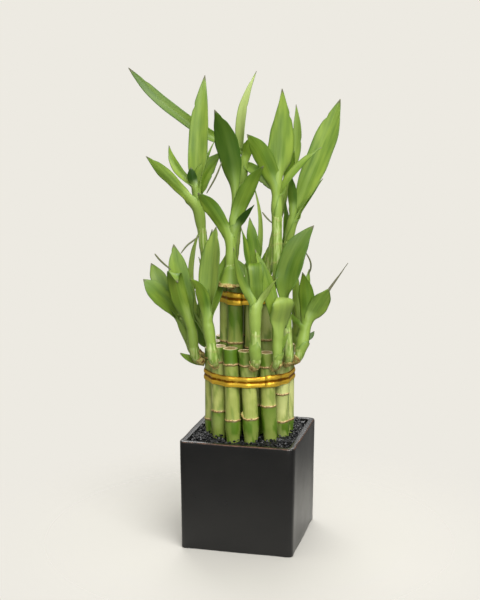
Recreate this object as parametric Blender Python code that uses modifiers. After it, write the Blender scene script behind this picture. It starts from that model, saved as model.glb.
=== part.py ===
"""Two-tier lucky bamboo in a square pot.

Dracaena canes stand in a bed of black gravel in a glazed square pot: a ring of short canes around
a ring of tall ones, each tier bound by a gilt ribbon. Leafy shoots grow from the canes' top nodes.

Frame: origin at the middle of the pot's flat underside, +Z up, the pot's front face towards -Y.
Sizes are written in millimetres and turned to metres as each mesh is made. Compass headings are
degrees counter-clockwise from +X, and a rise is degrees above the horizon.
"""

import math
from collections import namedtuple

import bmesh
import bpy
from mathutils import Matrix, Vector

MM = 0.001
SHARP_ANGLE = 40                # edges sharper than this stay sharp when a piece is shaded
GAP = 0.3                       # clearance between pieces that touch

# Pot
POT_SIDE = 90.6
POT_HEIGHT = 87.0
POT_TAPER = 1.1                 # each side draws in by this much at the foot
POT_WALL = 5.2
POT_FLOOR = 8.0
POT_CORNER = 6.0                # radius of the upright edges at the rim
POT_FOOT_CORNER = 1.5           # and at the foot, where the mould is crisper
POT_RIM = 1.2                   # bevel of the rim and the foot
RIM_SEGMENTS = 2
POT_CORNER_SEGMENTS = 4
WELL_CORNER_SEGMENTS = 6
WELL_CORNER = 12.0              # radius of the inside corners

# Gravel
GRAVEL_TOP = 84.5
GRAVEL_CROWN = 1.8              # the bed is heaped this much towards the canes
GRAVEL_BANK = 7.0               # width of the slope up to the heap

# Canes
CANE_RADIUS = 5.8
CANE_BUTT = 6.15                # radius below the lowest node, where a cane is stoutest
CANE_BURIED = 86.5              # below this height a cane stands plumb in the gravel
CANE_FOOT = 58.0                # height at which every cane stands in the gravel
CANE_SIDES = 12
CUT_EDGE = 0.5                  # rounding of a cane's cut top
NODE_SWELL = 0.45               # how far a node ring stands proud
NODE_HALF = 1.5                 # half the height of a node ring
OUTER_COUNT = 13
OUTER_RING = 29.6
OUTER_START = -157.0
INNER_COUNT = 7
INNER_RING = 15.6
INNER_START = -164.0
INNER_CENTRE = (-1.7, -0.4)

# Ribbon ties
TIE_THICK = 0.8
TIE_CLEAR = 0.4
LOWER_TIE = (129.8, 138.4)      # lower and upper edge
UPPER_TIE = (191.2, 200.2)
TIE_CORNER_STEPS = 3

# Shoots and leaves
SHOOT_RISE = 25.0               # a shoot leaves its cane this far above the horizon
SHOOT_BEND = 13.0               # length over which it turns up
SHOOT_SEAT = 0.9                # clearance between a shoot's foot and the cane's side
SHOOT_STEPS = 9
SHOOT_SUBSTEPS = 3              # finer steps of the path between two points that are kept
SHEATH_TAPER = 0.65
LEAF_THICK = 0.9
LEAF_STEPS = 8
LEAF_BASE = 0.35                # width at the foot of a blade, as a share of its widest
LEAF_PEAK = 0.42                # where a blade is widest
LEAF_TIP = 1.8                  # how full the blade stays towards its tip
LEAF_TIP_HALF = 0.3
LEAF_KEEL = 0.10                # depth of the channel along the midrib, as a share of the width

# top: cut top's height. nodes: heights of its rings. bow: sideways drift of the top, positive
# counter-clockwise round the ring. kick: sideways drift of the foot below the lowest node.
Cane = namedtuple("Cane", "top nodes bow kick", defaults=[0.0])
OUTER_CANES = [
    Cane(155, (98, 147), 0.0), Cane(159, (108, 147), -0.6), Cane(159, (103, 147), -2.4),
    Cane(158, (105, 147), -4.6), Cane(156, (114, 145), -2.2, 1.7), Cane(156, (99, 121, 147), 0.0, 1.3),
    Cane(157, (97, 147), 0.5, 0.6), Cane(159, (110, 147), -0.5), Cane(155, (102, 146), 1.0),
    Cane(158, (118, 147), 0.0), Cane(156, (106, 147), -1.0), Cane(159, (112, 147), 0.6),
    Cane(157, (101, 146), 0.0),
]
INNER_CANES = [
    Cane(210, (110, 160, 205), 0.0), Cane(211, (104, 161, 206), 0.0),
    Cane(209, (112, 158, 205), 0.4), Cane(209, (107, 162, 205), 0.0),
    Cane(210, (115, 159, 205), 0.0), Cane(208, (103, 161, 205), 0.0),
    Cane(207, (109, 157, 203), 0.0),
]

# A shoot leaves its cane at a height, pointing out, turns up and leans along a heading and a rise.
# Its leaves part from the sheath that continues it.
Shoot = namedtuple("Shoot", "name cane height out lean rise length foot_r top_r sheath leaves")
# at: distance along the sheath. droop and sweep: how far the rise falls and the heading turns from
# foot to tip. roll: turn of the blade about its own length.
Leaf = namedtuple("Leaf", "at heading rise length width droop sweep roll")
SHOOTS = [
    Shoot("upper_1", "inner_1", 205, -160, -145, 82, 61, 3.6, 3.4, 27, [
        Leaf(24, 64, 84, 79, 13, 5, -10, -40),
        Leaf(2.5, -148, 54, 57, 11, 15, -5, -75),
        Leaf(23, 172, 23, 39, 7, -45, -35, 45),
        Leaf(8, 12, 92, 44, 11, 50, 0, -75),
        Leaf(17, 64, 64, 37, 5, 10, -5, -35),
        Leaf(23, -137, 44, 12, 3, -35, 0, -60),
    ]),
    Shoot("upper_2", "inner_2", 206, -95, 74, 81, 42, 4.2, 4, 30, [
        Leaf(27, -126, 86, 71, 18, 20, -20, -55),
        Leaf(3, -146, 58, 42, 10, 15, -5, -70),
        Leaf(6, -14, 76, 53, 12, 25, 10, 65),
        Leaf(4, -21, 50, 28, 4, 5, 0, 60),
    ]),
    Shoot("upper_3", "inner_4", 205, -40, 117, 86, 65, 4, 3.8, 13, [
        Leaf(10, 9, 80, 78, 20, -15, 0, 75),
        Leaf(7, -140, 80, 51, 12, 30, -15, -65),
        Leaf(7, 17, 63, 51, 6, 30, 0, -70),
    ]),
    Shoot("upper_4", "inner_5", 205, 35, -36, 76, 52, 3.6, 3.4, 9, [
        Leaf(2, 23, 74, 99, 21, 10, -5, -70),
        Leaf(5, 49, 43, 34, 4, 5, 0, -50),
        Leaf(6, -95, 80, 31, 7, 0, 0, -15),
    ]),
    Shoot("upper_5", "inner_7", 205, 110, 11, 84, 87, 3.6, 3.2, 13, [
        Leaf(10, -168, 29, 114, 9, -20, 0, 70),
        Leaf(10, -17, 106, 70, 9, 50, 70, -65),
        Leaf(8, -43, 61, 22, 8, -10, -5, 30),
        Leaf(4, -8, 41, 25, 7, 125, -5, -60),
    ]),
    Shoot("upper_6", "inner_6", 205, 45, 3, 78, 71, 3.2, 3, 11, [
        Leaf(8, 25, 59, 63, 8, -50, -15, -75),
        Leaf(4, -44, 68, 35, 7, 0, 0, 30),
        Leaf(3, 165, 60, 27, 7, 25, 5, 55),
    ]),
    Shoot("upper_7", "inner_3", 205, -60, 120, 63, 16, 3.6, 3.4, 8, [
        Leaf(2, -168, 79, 39, 11, -5, 0, 75),
        Leaf(5, 43, 59, 52, 5, -60, -55, 75),
    ]),
    Shoot("lower_01", "outer_13", 143, -175, -135, 66, 32, 3.6, 3.6, 12, [
        Leaf(5, -157, 49, 44, 14, 5, 0, 75),
        Leaf(9, 169, 52, 48, 10, -10, -5, 50),
    ]),
    Shoot("lower_02", "outer_01", 144, -145, 163, 85, 28, 3.4, 3.4, 8, [
        Leaf(5, -179, 71, 63, 16, -10, -5, 60),
        Leaf(3, -144, 67, 52, 13, -5, 0, -60),
    ]),
    Shoot("lower_03", "outer_02", 145, -90, 152, 84, 35, 3.8, 4, 9, [
        Leaf(3, -132, 81, 36, 12, 25, -10, -55),
        Leaf(6, 98, 83, 69, 14, 0, -10, -10),
        Leaf(5, 79, 75, 64, 7, 15, -30, -55),
    ]),
    Shoot("lower_04", "outer_04", 146, -50, 143, 88, 47, 4, 4.2, 9, [
        Leaf(6, -157, 55, 47, 6, -30, 5, -70),
        Leaf(4, 133, 86, 31, 12, 0, 0, 25),
        Leaf(2, -2, 60, 30, 5, 5, 0, 70),
    ]),
    Shoot("lower_05", "outer_05", 145, -35, 147, 82, 33, 3.8, 4.2, 4, [
        Leaf(1, 13, 91, 25, 16, 15, 0, -75),
        Leaf(1, -170, 80, 63, 11, 10, 0, 70),
    ]),
    Shoot("lower_06", "outer_06", 146, -55, 139, 83, 40, 3.4, 3.4, 10, [
        Leaf(7, 22, 98, 69, 16, 50, -5, -70),
    ]),
    Shoot("lower_07", "outer_07", 144, -40, 59, 72, 20, 3.6, 3.6, 19, [
        Leaf(14, -5, 58, 33, 10, -5, -5, 65),
        Leaf(11, -141, 96, 44, 11, 20, 0, -55),
        Leaf(16, 17, 58, 56, 3, 5, 0, -70),
        Leaf(11, -148, 27, 21, 4, -35, 5, -70),
        Leaf(2, 35, -12, 10, 3, -85, 0, -60),
    ]),
    Shoot("lower_08", "outer_08", 147, 55, -67, 81, 26, 3.4, 3.2, 7, [
        Leaf(4, -116, 85, 38, 6, 5, 0, -35),
        Leaf(4, 53, 67, 40, 7, -10, 10, -40),
    ]),
    Shoot("lower_09", "outer_10", 147, 95, 32, 87, 39, 3.4, 3.2, 7, [
        Leaf(4, 61, 73, 50, 12, -10, 5, -35),
        Leaf(4, 164, 48, 38, 12, -5, 0, 50),
        Leaf(3, 60, 44, 28, 10, 30, -10, -50),
    ]),
    Shoot("lower_10", "outer_12", 147, 140, -126, 59, 27, 3.4, 3.2, 5, [
        Leaf(2, -154, 54, 77, 6, -70, -25, 75),
        Leaf(2, -150, 112, 53, 10, 55, -50, 65),
        Leaf(1, 157, 42, 33, 10, -5, 0, 45),
    ]),
]

# A lone bud that grows straight from a cane's side
BUD_NAME = "bud"
BUD_CANE = "outer_01"
BUD_HEIGHT = 142.0
BUD_OUT = -177.0
BUD_LEAF = Leaf(0, -170, 8, 24, 6, -35, 10, 50)


def tint(hex_rgb):
    """An sRGB hex colour as linear RGBA."""
    channels = [int(hex_rgb[i:i + 2], 16) / 255 for i in (0, 2, 4)]
    linear = [c / 12.92 if c <= 0.04045 else ((c + 0.055) / 1.055) ** 2.4 for c in channels]
    return (*linear, 1.0)


def finish(name, hex_rgb, roughness, metallic=0.0):
    """A Principled material."""
    material = bpy.data.materials.new(name)
    material.use_nodes = True
    shader = material.node_tree.nodes["Principled BSDF"]
    shader.inputs["Base Color"].default_value = tint(hex_rgb)
    shader.inputs["Roughness"].default_value = roughness
    shader.inputs["Metallic"].default_value = metallic
    return material


def clear_scene():
    for obj in list(bpy.data.objects):
        bpy.data.objects.remove(obj, do_unlink=True)


def new_collection(name):
    collection = bpy.data.collections.new(name)
    bpy.context.scene.collection.children.link(collection)
    return collection


def add_object(name, data, collection):
    obj = bpy.data.objects.new(name, data)
    collection.objects.link(obj)
    return obj


def add_mesh(name, bm, collection):
    """The bmesh, drawn in millimetres, as a mesh object in metres."""
    bmesh.ops.scale(bm, vec=(MM, MM, MM), verts=bm.verts)
    mesh = bpy.data.meshes.new(name)
    bm.to_mesh(mesh)
    bm.free()
    return add_object(name, mesh, collection)


def make_cutter(obj):
    obj.hide_render = True
    obj.display_type = "WIRE"
    return obj


def settled(obj, name, collection):
    """The object's evaluated mesh as a plain mesh object in its place."""
    bpy.context.view_layer.update()
    graph = bpy.context.evaluated_depsgraph_get()
    mesh = bpy.data.meshes.new_from_object(obj.evaluated_get(graph))
    bm = bmesh.new()
    bm.from_mesh(mesh)
    bmesh.ops.remove_doubles(bm, verts=bm.verts, dist=1e-6)
    bm.to_mesh(mesh)
    bm.free()
    plain = add_object(name, mesh, collection)
    plain.matrix_world = obj.matrix_world
    bpy.data.objects.remove(obj, do_unlink=True)
    return plain


def boolean(obj, other, operation, solver="EXACT"):
    modifier = obj.modifiers.new(other.name, "BOOLEAN")
    modifier.operation = operation
    modifier.object = other
    modifier.solver = solver


def smooth(obj, degrees=SHARP_ANGLE):
    obj.data.shade_smooth()
    obj.data.set_sharp_from_angle(angle=math.radians(degrees))


def dress(obj, material):
    obj.data.materials.clear()
    obj.data.materials.append(material)
    return obj


# ---- pot and gravel ----

def rounded_block(side, low, high, corner, segments, rim=0.0):
    """A square block with rounded upright edges and, with a rim, softened top and bottom edges."""
    bm = bmesh.new()
    bmesh.ops.create_cube(bm, size=1.0)
    bmesh.ops.scale(bm, vec=(side, side, high - low), verts=bm.verts)
    bmesh.ops.translate(bm, vec=(0, 0, (low + high) / 2), verts=bm.verts)
    upright = [e for e in bm.edges if abs(e.verts[0].co.z - e.verts[1].co.z) > 1]
    bmesh.ops.bevel(bm, geom=upright, offset=corner, segments=segments, profile=0.5,
                    affect="EDGES", offset_type="OFFSET", material=-1)
    if rim:
        level = [e for e in bm.edges if abs(e.verts[0].co.z - e.verts[1].co.z) < 1e-4
                 and len(e.link_faces) == 2
                 and abs(e.link_faces[0].normal.z - e.link_faces[1].normal.z) > 0.5]
        bmesh.ops.bevel(bm, geom=level, offset=rim, segments=RIM_SEGMENTS, profile=0.5,
                        affect="EDGES", offset_type="OFFSET", material=-1)
    return bm


def tighten_corner(co, reach, radius, new_radius):
    """Move a point of a block's rounded corner to where a smaller radius would put it."""
    if min(abs(co.x), abs(co.y)) < reach - radius - POT_RIM:
        return
    for axis in (0, 1):
        turned = (abs(co[axis]) - (reach - radius)) / radius
        co[axis] = math.copysign(reach - new_radius + turned * new_radius, co[axis])


def make_pot(parts, cutters, material):
    body = rounded_block(POT_SIDE, 0, POT_HEIGHT, POT_CORNER, POT_CORNER_SEGMENTS, POT_RIM)
    for vert in body.verts:
        up = vert.co.z / POT_HEIGHT
        corner = POT_FOOT_CORNER + (POT_CORNER - POT_FOOT_CORNER) * up
        tighten_corner(vert.co, POT_SIDE / 2, POT_CORNER, corner)
        shrink = 1 - 2 * POT_TAPER / POT_SIDE * (1 - up)
        vert.co.x *= shrink
        vert.co.y *= shrink
    pot = add_mesh("pot", body, parts)
    well_side = POT_SIDE - 2 * POT_WALL
    well = rounded_block(well_side, POT_FLOOR, POT_HEIGHT + 5, WELL_CORNER, WELL_CORNER_SEGMENTS)
    boolean(pot, make_cutter(add_mesh("pot_well", well, cutters)), "DIFFERENCE")
    smooth(pot)
    return dress(pot, material)


def make_gravel(parts, cutters, material):
    side = POT_SIDE - 2 * POT_WALL - 2 * GAP
    bed = rounded_block(side, POT_FLOOR + GAP, GRAVEL_TOP, WELL_CORNER - GAP, WELL_CORNER_SEGMENTS)
    top = [f for f in bed.faces if f.normal.z > 0.9]
    bmesh.ops.inset_region(bed, faces=top, thickness=GRAVEL_BANK, depth=GRAVEL_CROWN,
                           use_even_offset=True)
    gravel = add_mesh("gravel", bed, parts)
    for tag in cane_tags():
        x, y, _ = cane_centre(tag, CANE_FOOT)
        socket = bmesh.new()
        radius = CANE_RADIUS + NODE_SWELL + GAP
        depth = GRAVEL_TOP + 10 - CANE_FOOT
        bmesh.ops.create_cone(socket, cap_ends=True, segments=CANE_SIDES, radius1=radius,
                              radius2=radius, depth=depth)
        middle = CANE_FOOT - GAP + depth / 2
        bmesh.ops.translate(socket, vec=(x, y, middle), verts=socket.verts)
        boolean(gravel, make_cutter(add_mesh("socket_" + tag, socket, cutters)), "DIFFERENCE")
    return dress(gravel, material)


# ---- canes ----

def cane_tags():
    return ([f"outer_{k + 1:02d}" for k in range(OUTER_COUNT)]
            + [f"inner_{k + 1}" for k in range(INNER_COUNT)])


def cane_axis(tag):
    """Where a cane stands in its ring, from its name."""
    ring, number = tag.split("_")
    step = int(number) - 1
    if ring == "outer":
        angle = math.radians(OUTER_START + 360 / OUTER_COUNT * step)
        return OUTER_RING * math.cos(angle), OUTER_RING * math.sin(angle)
    angle = math.radians(INNER_START + 360 / INNER_COUNT * step)
    return (INNER_CENTRE[0] + INNER_RING * math.cos(angle),
            INNER_CENTRE[1] + INNER_RING * math.sin(angle))


def cane_of(tag):
    ring, number = tag.split("_")
    return (OUTER_CANES if ring == "outer" else INNER_CANES)[int(number) - 1]


def drift_at(tag, height):
    """Sideways drift of a cane's axis: its bow grows to the cut top, its kick to the gravel."""
    cane = cane_of(tag)
    x, y = cane_axis(tag)
    along = (height - CANE_FOOT) / (cane.top - CANE_FOOT)
    node = min(cane.nodes)
    kicked = min(1.0, max(0.0, (node - height) / (node - CANE_BURIED)))
    drift = cane.bow * along ** 3 + cane.kick * kicked
    reach = math.hypot(x, y)
    return Vector((-y / reach * drift, x / reach * drift, 0))


def cane_centre(tag, height):
    x, y = cane_axis(tag)
    return Vector((x, y, height)) + drift_at(tag, height)


def cane_profile(cane):
    """The cane's outline at +X from the axis at the cut top down to the axis at the foot."""
    outline = [(0, cane.top), (CANE_RADIUS - CUT_EDGE, cane.top), (CANE_RADIUS, cane.top - CUT_EDGE)]
    for height in sorted(cane.nodes, reverse=True):
        below = CANE_BUTT if height == min(cane.nodes) else CANE_RADIUS
        outline += [(CANE_RADIUS, height + NODE_HALF),
                    (CANE_RADIUS + NODE_SWELL, height),
                    (below, height - NODE_HALF)]
    return outline + [(CANE_BUTT, CANE_BURIED), (CANE_BUTT, CANE_FOOT), (0, CANE_FOOT)]


def make_cane(tag, parts, material):
    cane = cane_of(tag)
    bm = bmesh.new()
    verts = [bm.verts.new((r, 0, z)) for r, z in cane_profile(cane)]
    for first, second in zip(verts, verts[1:]):
        bm.edges.new((first, second))
    profile = add_mesh("cane_profile", bm, parts)
    screw = profile.modifiers.new("turn", "SCREW")
    screw.steps = screw.render_steps = CANE_SIDES
    screw.use_merge_vertices = True
    screw.merge_threshold = 1e-5
    obj = settled(profile, "cane_" + tag, parts)
    x, y = cane_axis(tag)
    for vert in obj.data.vertices:
        vert.co += (Vector((x, y, 0)) + drift_at(tag, vert.co.z / MM)) * MM
    smooth(obj)
    return dress(obj, material)


# ---- ribbon ties ----

def make_tie(name, tags, edges, parts, material):
    """A band that hugs the outer side of each cane and runs straight from one to the next."""
    middle = sum(edges) / 2
    centres = [cane_centre(tag, middle) for tag in tags]
    hub = sum(centres, Vector()) / len(centres)
    reach = CANE_RADIUS + TIE_CLEAR
    loop = []
    for here, after in zip(centres, centres[1:] + centres[:1]):
        before = centres[centres.index(here) - 1]
        start = (here - before).cross(Vector((0, 0, 1))).to_2d()
        end = (after - here).cross(Vector((0, 0, 1))).to_2d()
        first = math.atan2(start.y, start.x)
        swing = (math.atan2(end.y, end.x) - first) % (2 * math.pi)
        for step in range(TIE_CORNER_STEPS):
            angle = first + swing * step / (TIE_CORNER_STEPS - 1)
            loop.append(here + direction(math.degrees(angle), 0) * reach)
    bm = bmesh.new()
    low = [bm.verts.new((p.x, p.y, edges[0])) for p in loop]
    ring = [bm.edges.new((a, b)) for a, b in zip(low, low[1:] + low[:1])]
    raised = bmesh.ops.extrude_edge_only(bm, edges=ring)
    top = [v for v in raised["geom"] if isinstance(v, bmesh.types.BMVert)]
    bmesh.ops.translate(bm, vec=(0, 0, edges[1] - edges[0]), verts=top)
    bm.normal_update()
    face = next(iter(bm.faces))
    if face.normal.dot(face.calc_center_median() - hub) < 0:
        bmesh.ops.reverse_faces(bm, faces=bm.faces)
    tie = add_mesh(name, bm, parts)
    wall = tie.modifiers.new("wall", "SOLIDIFY")
    wall.thickness = TIE_THICK * MM
    wall.offset = 1.0
    return dress(tie, material)


# ---- shoots ----

def direction(heading, rise):
    h, r = math.radians(heading), math.radians(rise)
    return Vector((math.cos(h) * math.cos(r), math.sin(h) * math.cos(r), math.sin(r)))


def shoot_foot(shoot):
    """The middle of the shoot's foot, seated on the cane's side."""
    reach = CANE_RADIUS + SHOOT_SEAT + shoot.foot_r * math.sin(math.radians(SHOOT_RISE))
    return cane_centre(shoot.cane, shoot.height) + direction(shoot.out, 0) * reach


def shoot_path(shoot):
    """Points up the middle of a shoot's stem: out from the cane, a short bend, then its lean."""
    steps = SHOOT_STEPS * SHOOT_SUBSTEPS
    stride = shoot.length / steps
    away, up = direction(shoot.out, SHOOT_RISE), direction(shoot.lean, shoot.rise)
    point = shoot_foot(shoot)
    points = [point.copy()]
    for k in range(steps):
        turn = min(1.0, (k + 0.5) * stride / SHOOT_BEND)
        turn = turn * turn * (3 - 2 * turn)
        point = point + (away * (1 - turn) + up * turn).normalized() * stride
        if (k + 1) % SHOOT_SUBSTEPS == 0:
            points.append(point.copy())
    return points


def tube(name, points, radii, parts):
    """A capped round tube through the points."""
    curve = bpy.data.curves.new(name, "CURVE")
    curve.dimensions = "3D"
    curve.bevel_depth = MM
    curve.bevel_resolution = 2
    curve.use_fill_caps = True
    spline = curve.splines.new("POLY")
    spline.points.add(len(points) - 1)
    for target, point, radius in zip(spline.points, points, radii):
        target.co = (*(point * MM), 1)
        target.radius = radius
    return settled(add_object(name + "_curve", curve, parts), name, parts)


def make_stem(shoot, parts, material):
    points = shoot_path(shoot)
    count = len(points) - 1
    radii = [shoot.foot_r + (shoot.top_r - shoot.foot_r) * k / count for k in range(count + 1)]
    stem = tube("stem_" + shoot.name, points, radii, parts)
    smooth(stem)
    return dress(stem, material)


def blade_half_width(share, width):
    swell = LEAF_BASE + (1 - LEAF_BASE) * math.sin(math.pi / 2 * min(1, share / LEAF_PEAK))
    past = max(0.0, share - LEAF_PEAK) / (1 - LEAF_PEAK)
    return max(LEAF_TIP_HALF, 0.5 * width * swell * (1 - past ** LEAF_TIP))


def blade(name, foot, leaf, parts):
    """A thin curved leaf blade: a grid two cells wide laid along the leaf's arc, given a thickness."""
    bm = bmesh.new()
    bmesh.ops.create_grid(bm, x_segments=2, y_segments=LEAF_STEPS, size=1.0)
    stride = leaf.length / LEAF_STEPS
    roll = math.radians(leaf.roll)
    spine = [foot.copy()]
    for k in range(LEAF_STEPS):
        share = (k + 0.5) / LEAF_STEPS
        step = direction(leaf.heading + leaf.sweep * share, leaf.rise - leaf.droop * share)
        spine.append(spine[-1] + step * stride)
    for vert in bm.verts:
        row = round((vert.co.y + 1) / 2 * LEAF_STEPS)
        share = row / LEAF_STEPS
        across = vert.co.x
        heading = leaf.heading + leaf.sweep * share
        along = direction(heading, leaf.rise - leaf.droop * share)
        level = direction(heading - 90, 0)
        face = level.cross(along)
        side = level * math.cos(roll) + face * math.sin(roll)
        outward = face * math.cos(roll) - level * math.sin(roll)
        half = blade_half_width(share, leaf.width)
        lift = LEAF_KEEL * 2 * half * abs(across)
        vert.co = spine[row] + side * half * across + outward * lift
    obj = add_mesh(name + "_sheet", bm, parts)
    wall = obj.modifiers.new("wall", "SOLIDIFY")
    wall.thickness = LEAF_THICK * MM
    wall.offset = 0.0
    return settled(obj, name, parts)


def grown_together(name, base, blades, parts):
    """One solid from a base and the blades that grow from it.

    The blades are thin and cross at shallow angles, where EXACT loses some of them.
    """
    for part in blades:
        boolean(base, part, "UNION", "MANIFOLD")
    joined = settled(base, name, parts)
    for part in blades:
        bpy.data.objects.remove(part, do_unlink=True)
    return joined


def make_leaves(shoot, parts, material):
    below, top = shoot_path(shoot)[-2:]
    up = (top - below).normalized()
    ends = [top + up * GAP, top + up * shoot.sheath]
    sheath = tube("sheath", ends, [shoot.top_r, shoot.top_r * SHEATH_TAPER], parts)
    blades = [blade(f"blade_{k}", top + up * leaf.at, leaf, parts)
              for k, leaf in enumerate(shoot.leaves)]
    leaves = grown_together("leaves_" + shoot.name, sheath, blades, parts)
    smooth(leaves)
    return dress(leaves, material)


def make_bud(parts, material):
    foot = cane_centre(BUD_CANE, BUD_HEIGHT) + direction(BUD_OUT, 0) * (CANE_RADIUS + SHOOT_SEAT)
    bud = blade(BUD_NAME, foot, BUD_LEAF, parts)
    smooth(bud)
    return dress(bud, material)


def main():
    clear_scene()
    parts = new_collection("lucky_bamboo")
    cutters = new_collection("cutters")
    glaze = finish("black satin glaze", "2D2D2C", 0.42)
    stones = finish("black glass gravel", "131417", 0.25)
    green_cane = finish("green cane", "A5B95F", 0.4)
    green_stem = finish("pale green stem", "9DBB62", 0.45)
    green_leaf = finish("leaf green", "6E9C3A", 0.45)
    gilt = finish("gilt ribbon", "DCAA3C", 0.25, 1.0)

    make_pot(parts, cutters, glaze)
    make_gravel(parts, cutters, stones)
    for tag in cane_tags():
        make_cane(tag, parts, green_cane)
    outer = [tag for tag in cane_tags() if tag.startswith("outer")]
    inner = [tag for tag in cane_tags() if tag.startswith("inner")]
    make_tie("lower_tie", outer, LOWER_TIE, parts, gilt)
    make_tie("upper_tie", inner, UPPER_TIE, parts, gilt)
    for shoot in SHOOTS:
        make_stem(shoot, parts, green_stem)
        make_leaves(shoot, parts, green_leaf)
    make_bud(parts, green_leaf)


main()
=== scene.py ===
# %% [markdown]
# # Lucky bamboo in a black pot
#
# Twenty cut canes of Dracaena stand in black gravel in a square glazed pot. Two gilt ribbons hold
# them in an outer and an inner tier, and leafy shoots grow from the canes' top joints. The packed
# CAD model is the frame: it says where each piece stands and how large it is. This script makes
# the surface that one sees. Sizes are in millimetres until a mesh is finished, headings are
# degrees counter-clockwise from +X, and a rise is degrees above the horizon.

# %% Load the frame
import math
import random
from collections import namedtuple
from functools import partial

import bmesh
import bpy
from mathutils import Matrix, Vector, noise


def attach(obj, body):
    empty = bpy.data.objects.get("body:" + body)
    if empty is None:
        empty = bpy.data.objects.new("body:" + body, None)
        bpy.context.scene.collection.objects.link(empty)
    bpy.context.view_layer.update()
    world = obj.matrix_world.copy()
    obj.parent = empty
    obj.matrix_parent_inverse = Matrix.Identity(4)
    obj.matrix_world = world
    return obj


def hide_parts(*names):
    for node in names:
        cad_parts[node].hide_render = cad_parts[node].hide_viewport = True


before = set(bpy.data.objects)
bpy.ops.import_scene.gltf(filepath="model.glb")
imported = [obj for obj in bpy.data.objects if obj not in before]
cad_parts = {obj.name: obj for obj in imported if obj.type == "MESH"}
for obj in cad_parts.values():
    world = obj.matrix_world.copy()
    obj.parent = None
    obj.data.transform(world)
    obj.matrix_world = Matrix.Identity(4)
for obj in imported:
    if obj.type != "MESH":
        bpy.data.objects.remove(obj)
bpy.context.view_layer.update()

MM = 0.001

# %% [markdown]
# ## The camera
#
# It stands a metre away, turned a little to the right of the pot's front face and looking down at
# a slight angle. A long lens keeps the pot's upright edges nearly parallel. The camera is placed
# from its heading and rise round a target, and not by hand, so that the numbers can be read and
# changed.

# %% Camera
CAMERA_TURN = 13.75             # degrees to the right of the pot's front
CAMERA_RISE = 10.78
CAMERA_DISTANCE = 974.0
CAMERA_LENS = 74.8
CAMERA_SENSOR = 36.0
TARGET_HEIGHT = 191.6
TARGET_SHIFT = -7.4             # the target lies this far along the camera's own right


def direction(heading, rise):
    """A unit vector from a heading and a rise in degrees."""
    h, r = math.radians(heading), math.radians(rise)
    return Vector((math.cos(h) * math.cos(r), math.sin(h) * math.cos(r), math.sin(r)))


def add_object(name, data):
    """Show some data as an object in the scene."""
    obj = bpy.data.objects.new(name, data)
    bpy.context.scene.collection.objects.link(obj)
    return obj


camera_right = direction(CAMERA_TURN, 0)
camera_look = -direction(CAMERA_TURN - 90, CAMERA_RISE)
camera_data = bpy.data.cameras.new("camera")
camera_data.lens = CAMERA_LENS
camera_data.sensor_width = CAMERA_SENSOR
camera = add_object("camera", camera_data)
target = camera_right * TARGET_SHIFT + Vector((0, 0, TARGET_HEIGHT))
facing = Matrix((camera_right, camera_right.cross(camera_look), -camera_look)).transposed().to_4x4()
facing.translation = (target - camera_look * CAMERA_DISTANCE) * MM
camera.matrix_world = facing
bpy.context.scene.camera = camera
print("camera at", [round(c, 3) for c in camera.location])

# %% [markdown]
# ## Colours and nodes
#
# One function turns an sRGB hex colour into the linear values that shaders use. Another adds one
# shader node with its settings and links, so that a material reads as a list of what it is made
# of. A pattern's scale is written as a real size in millimetres, and what a mesh's points are
# marked with, such as a tan ring or a dry tip, reaches the shader as an attribute.

# %% Colours and nodes
def tint(hex_rgb):
    """An sRGB hex colour as linear RGBA."""
    channels = [int(hex_rgb[i:i + 2], 16) / 255 for i in (0, 2, 4)]
    linear = [c / 12.92 if c <= 0.04045 else ((c + 0.055) / 1.055) ** 2.4 for c in channels]
    return (*linear, 1.0)


def add_node(tree, kind, inputs=None, stops=None, **settings):
    """Add a shader node. An input is a value, a hex colour, or the socket or node that feeds it.

    A node that feeds an input does so from its first output in use, and an input's name means the
    one in use of that name. Stops are a colour ramp's.
    """
    made = tree.nodes.new("ShaderNode" + kind)
    for name, value in settings.items():
        setattr(made, name, value)
    for name, value in (inputs or {}).items():
        socket = (made.inputs[name] if isinstance(name, int)
                  else next(s for s in made.inputs if s.enabled and s.name == name))
        if isinstance(value, str):
            value = tint(value)
        if isinstance(value, bpy.types.Node):
            value = next(s for s in value.outputs if s.enabled)
        if isinstance(value, bpy.types.NodeSocket):
            tree.links.new(value, socket)
        else:
            socket.default_value = value
    if stops:
        while len(made.color_ramp.elements) < len(stops):
            made.color_ramp.elements.new(1.0)
        for element, (place, colour) in zip(made.color_ramp.elements, stops):
            element.position = place
            element.color = tint(colour)
    return made


def make_material(name, build):
    """A node material. build(node) adds its nodes and returns the one that shades the surface."""
    material = bpy.data.materials.new(name)
    material.use_nodes = True
    material.node_tree.nodes.clear()
    node = partial(add_node, material.node_tree)
    node("OutputMaterial", {"Surface": build(node)})
    return material


def every(size):
    """The scale of a pattern that repeats after this many millimetres."""
    return 1 / (size * MM)


print("leaf green in linear values:", [round(c, 3) for c in tint("68891F")])

# %% [markdown]
# ## Pieces and shapes
#
# A shape is a bmesh in millimetres whose points carry marks. When it is finished it becomes a
# piece: scaled to metres, riding on the frame, with its material. Most of the plant is made of
# grids: bmesh lays a flat one, and a function says where each of its points goes.

# %% Pieces and shapes
def new_bmesh():
    """An empty bmesh whose points carry marks, a grain for patterns and a tone."""
    bm = bmesh.new()
    bm.verts.layers.float_color.new("marks")
    bm.verts.layers.float_vector.new("grain")
    bm.verts.layers.float.new("tone")
    return bm


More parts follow.
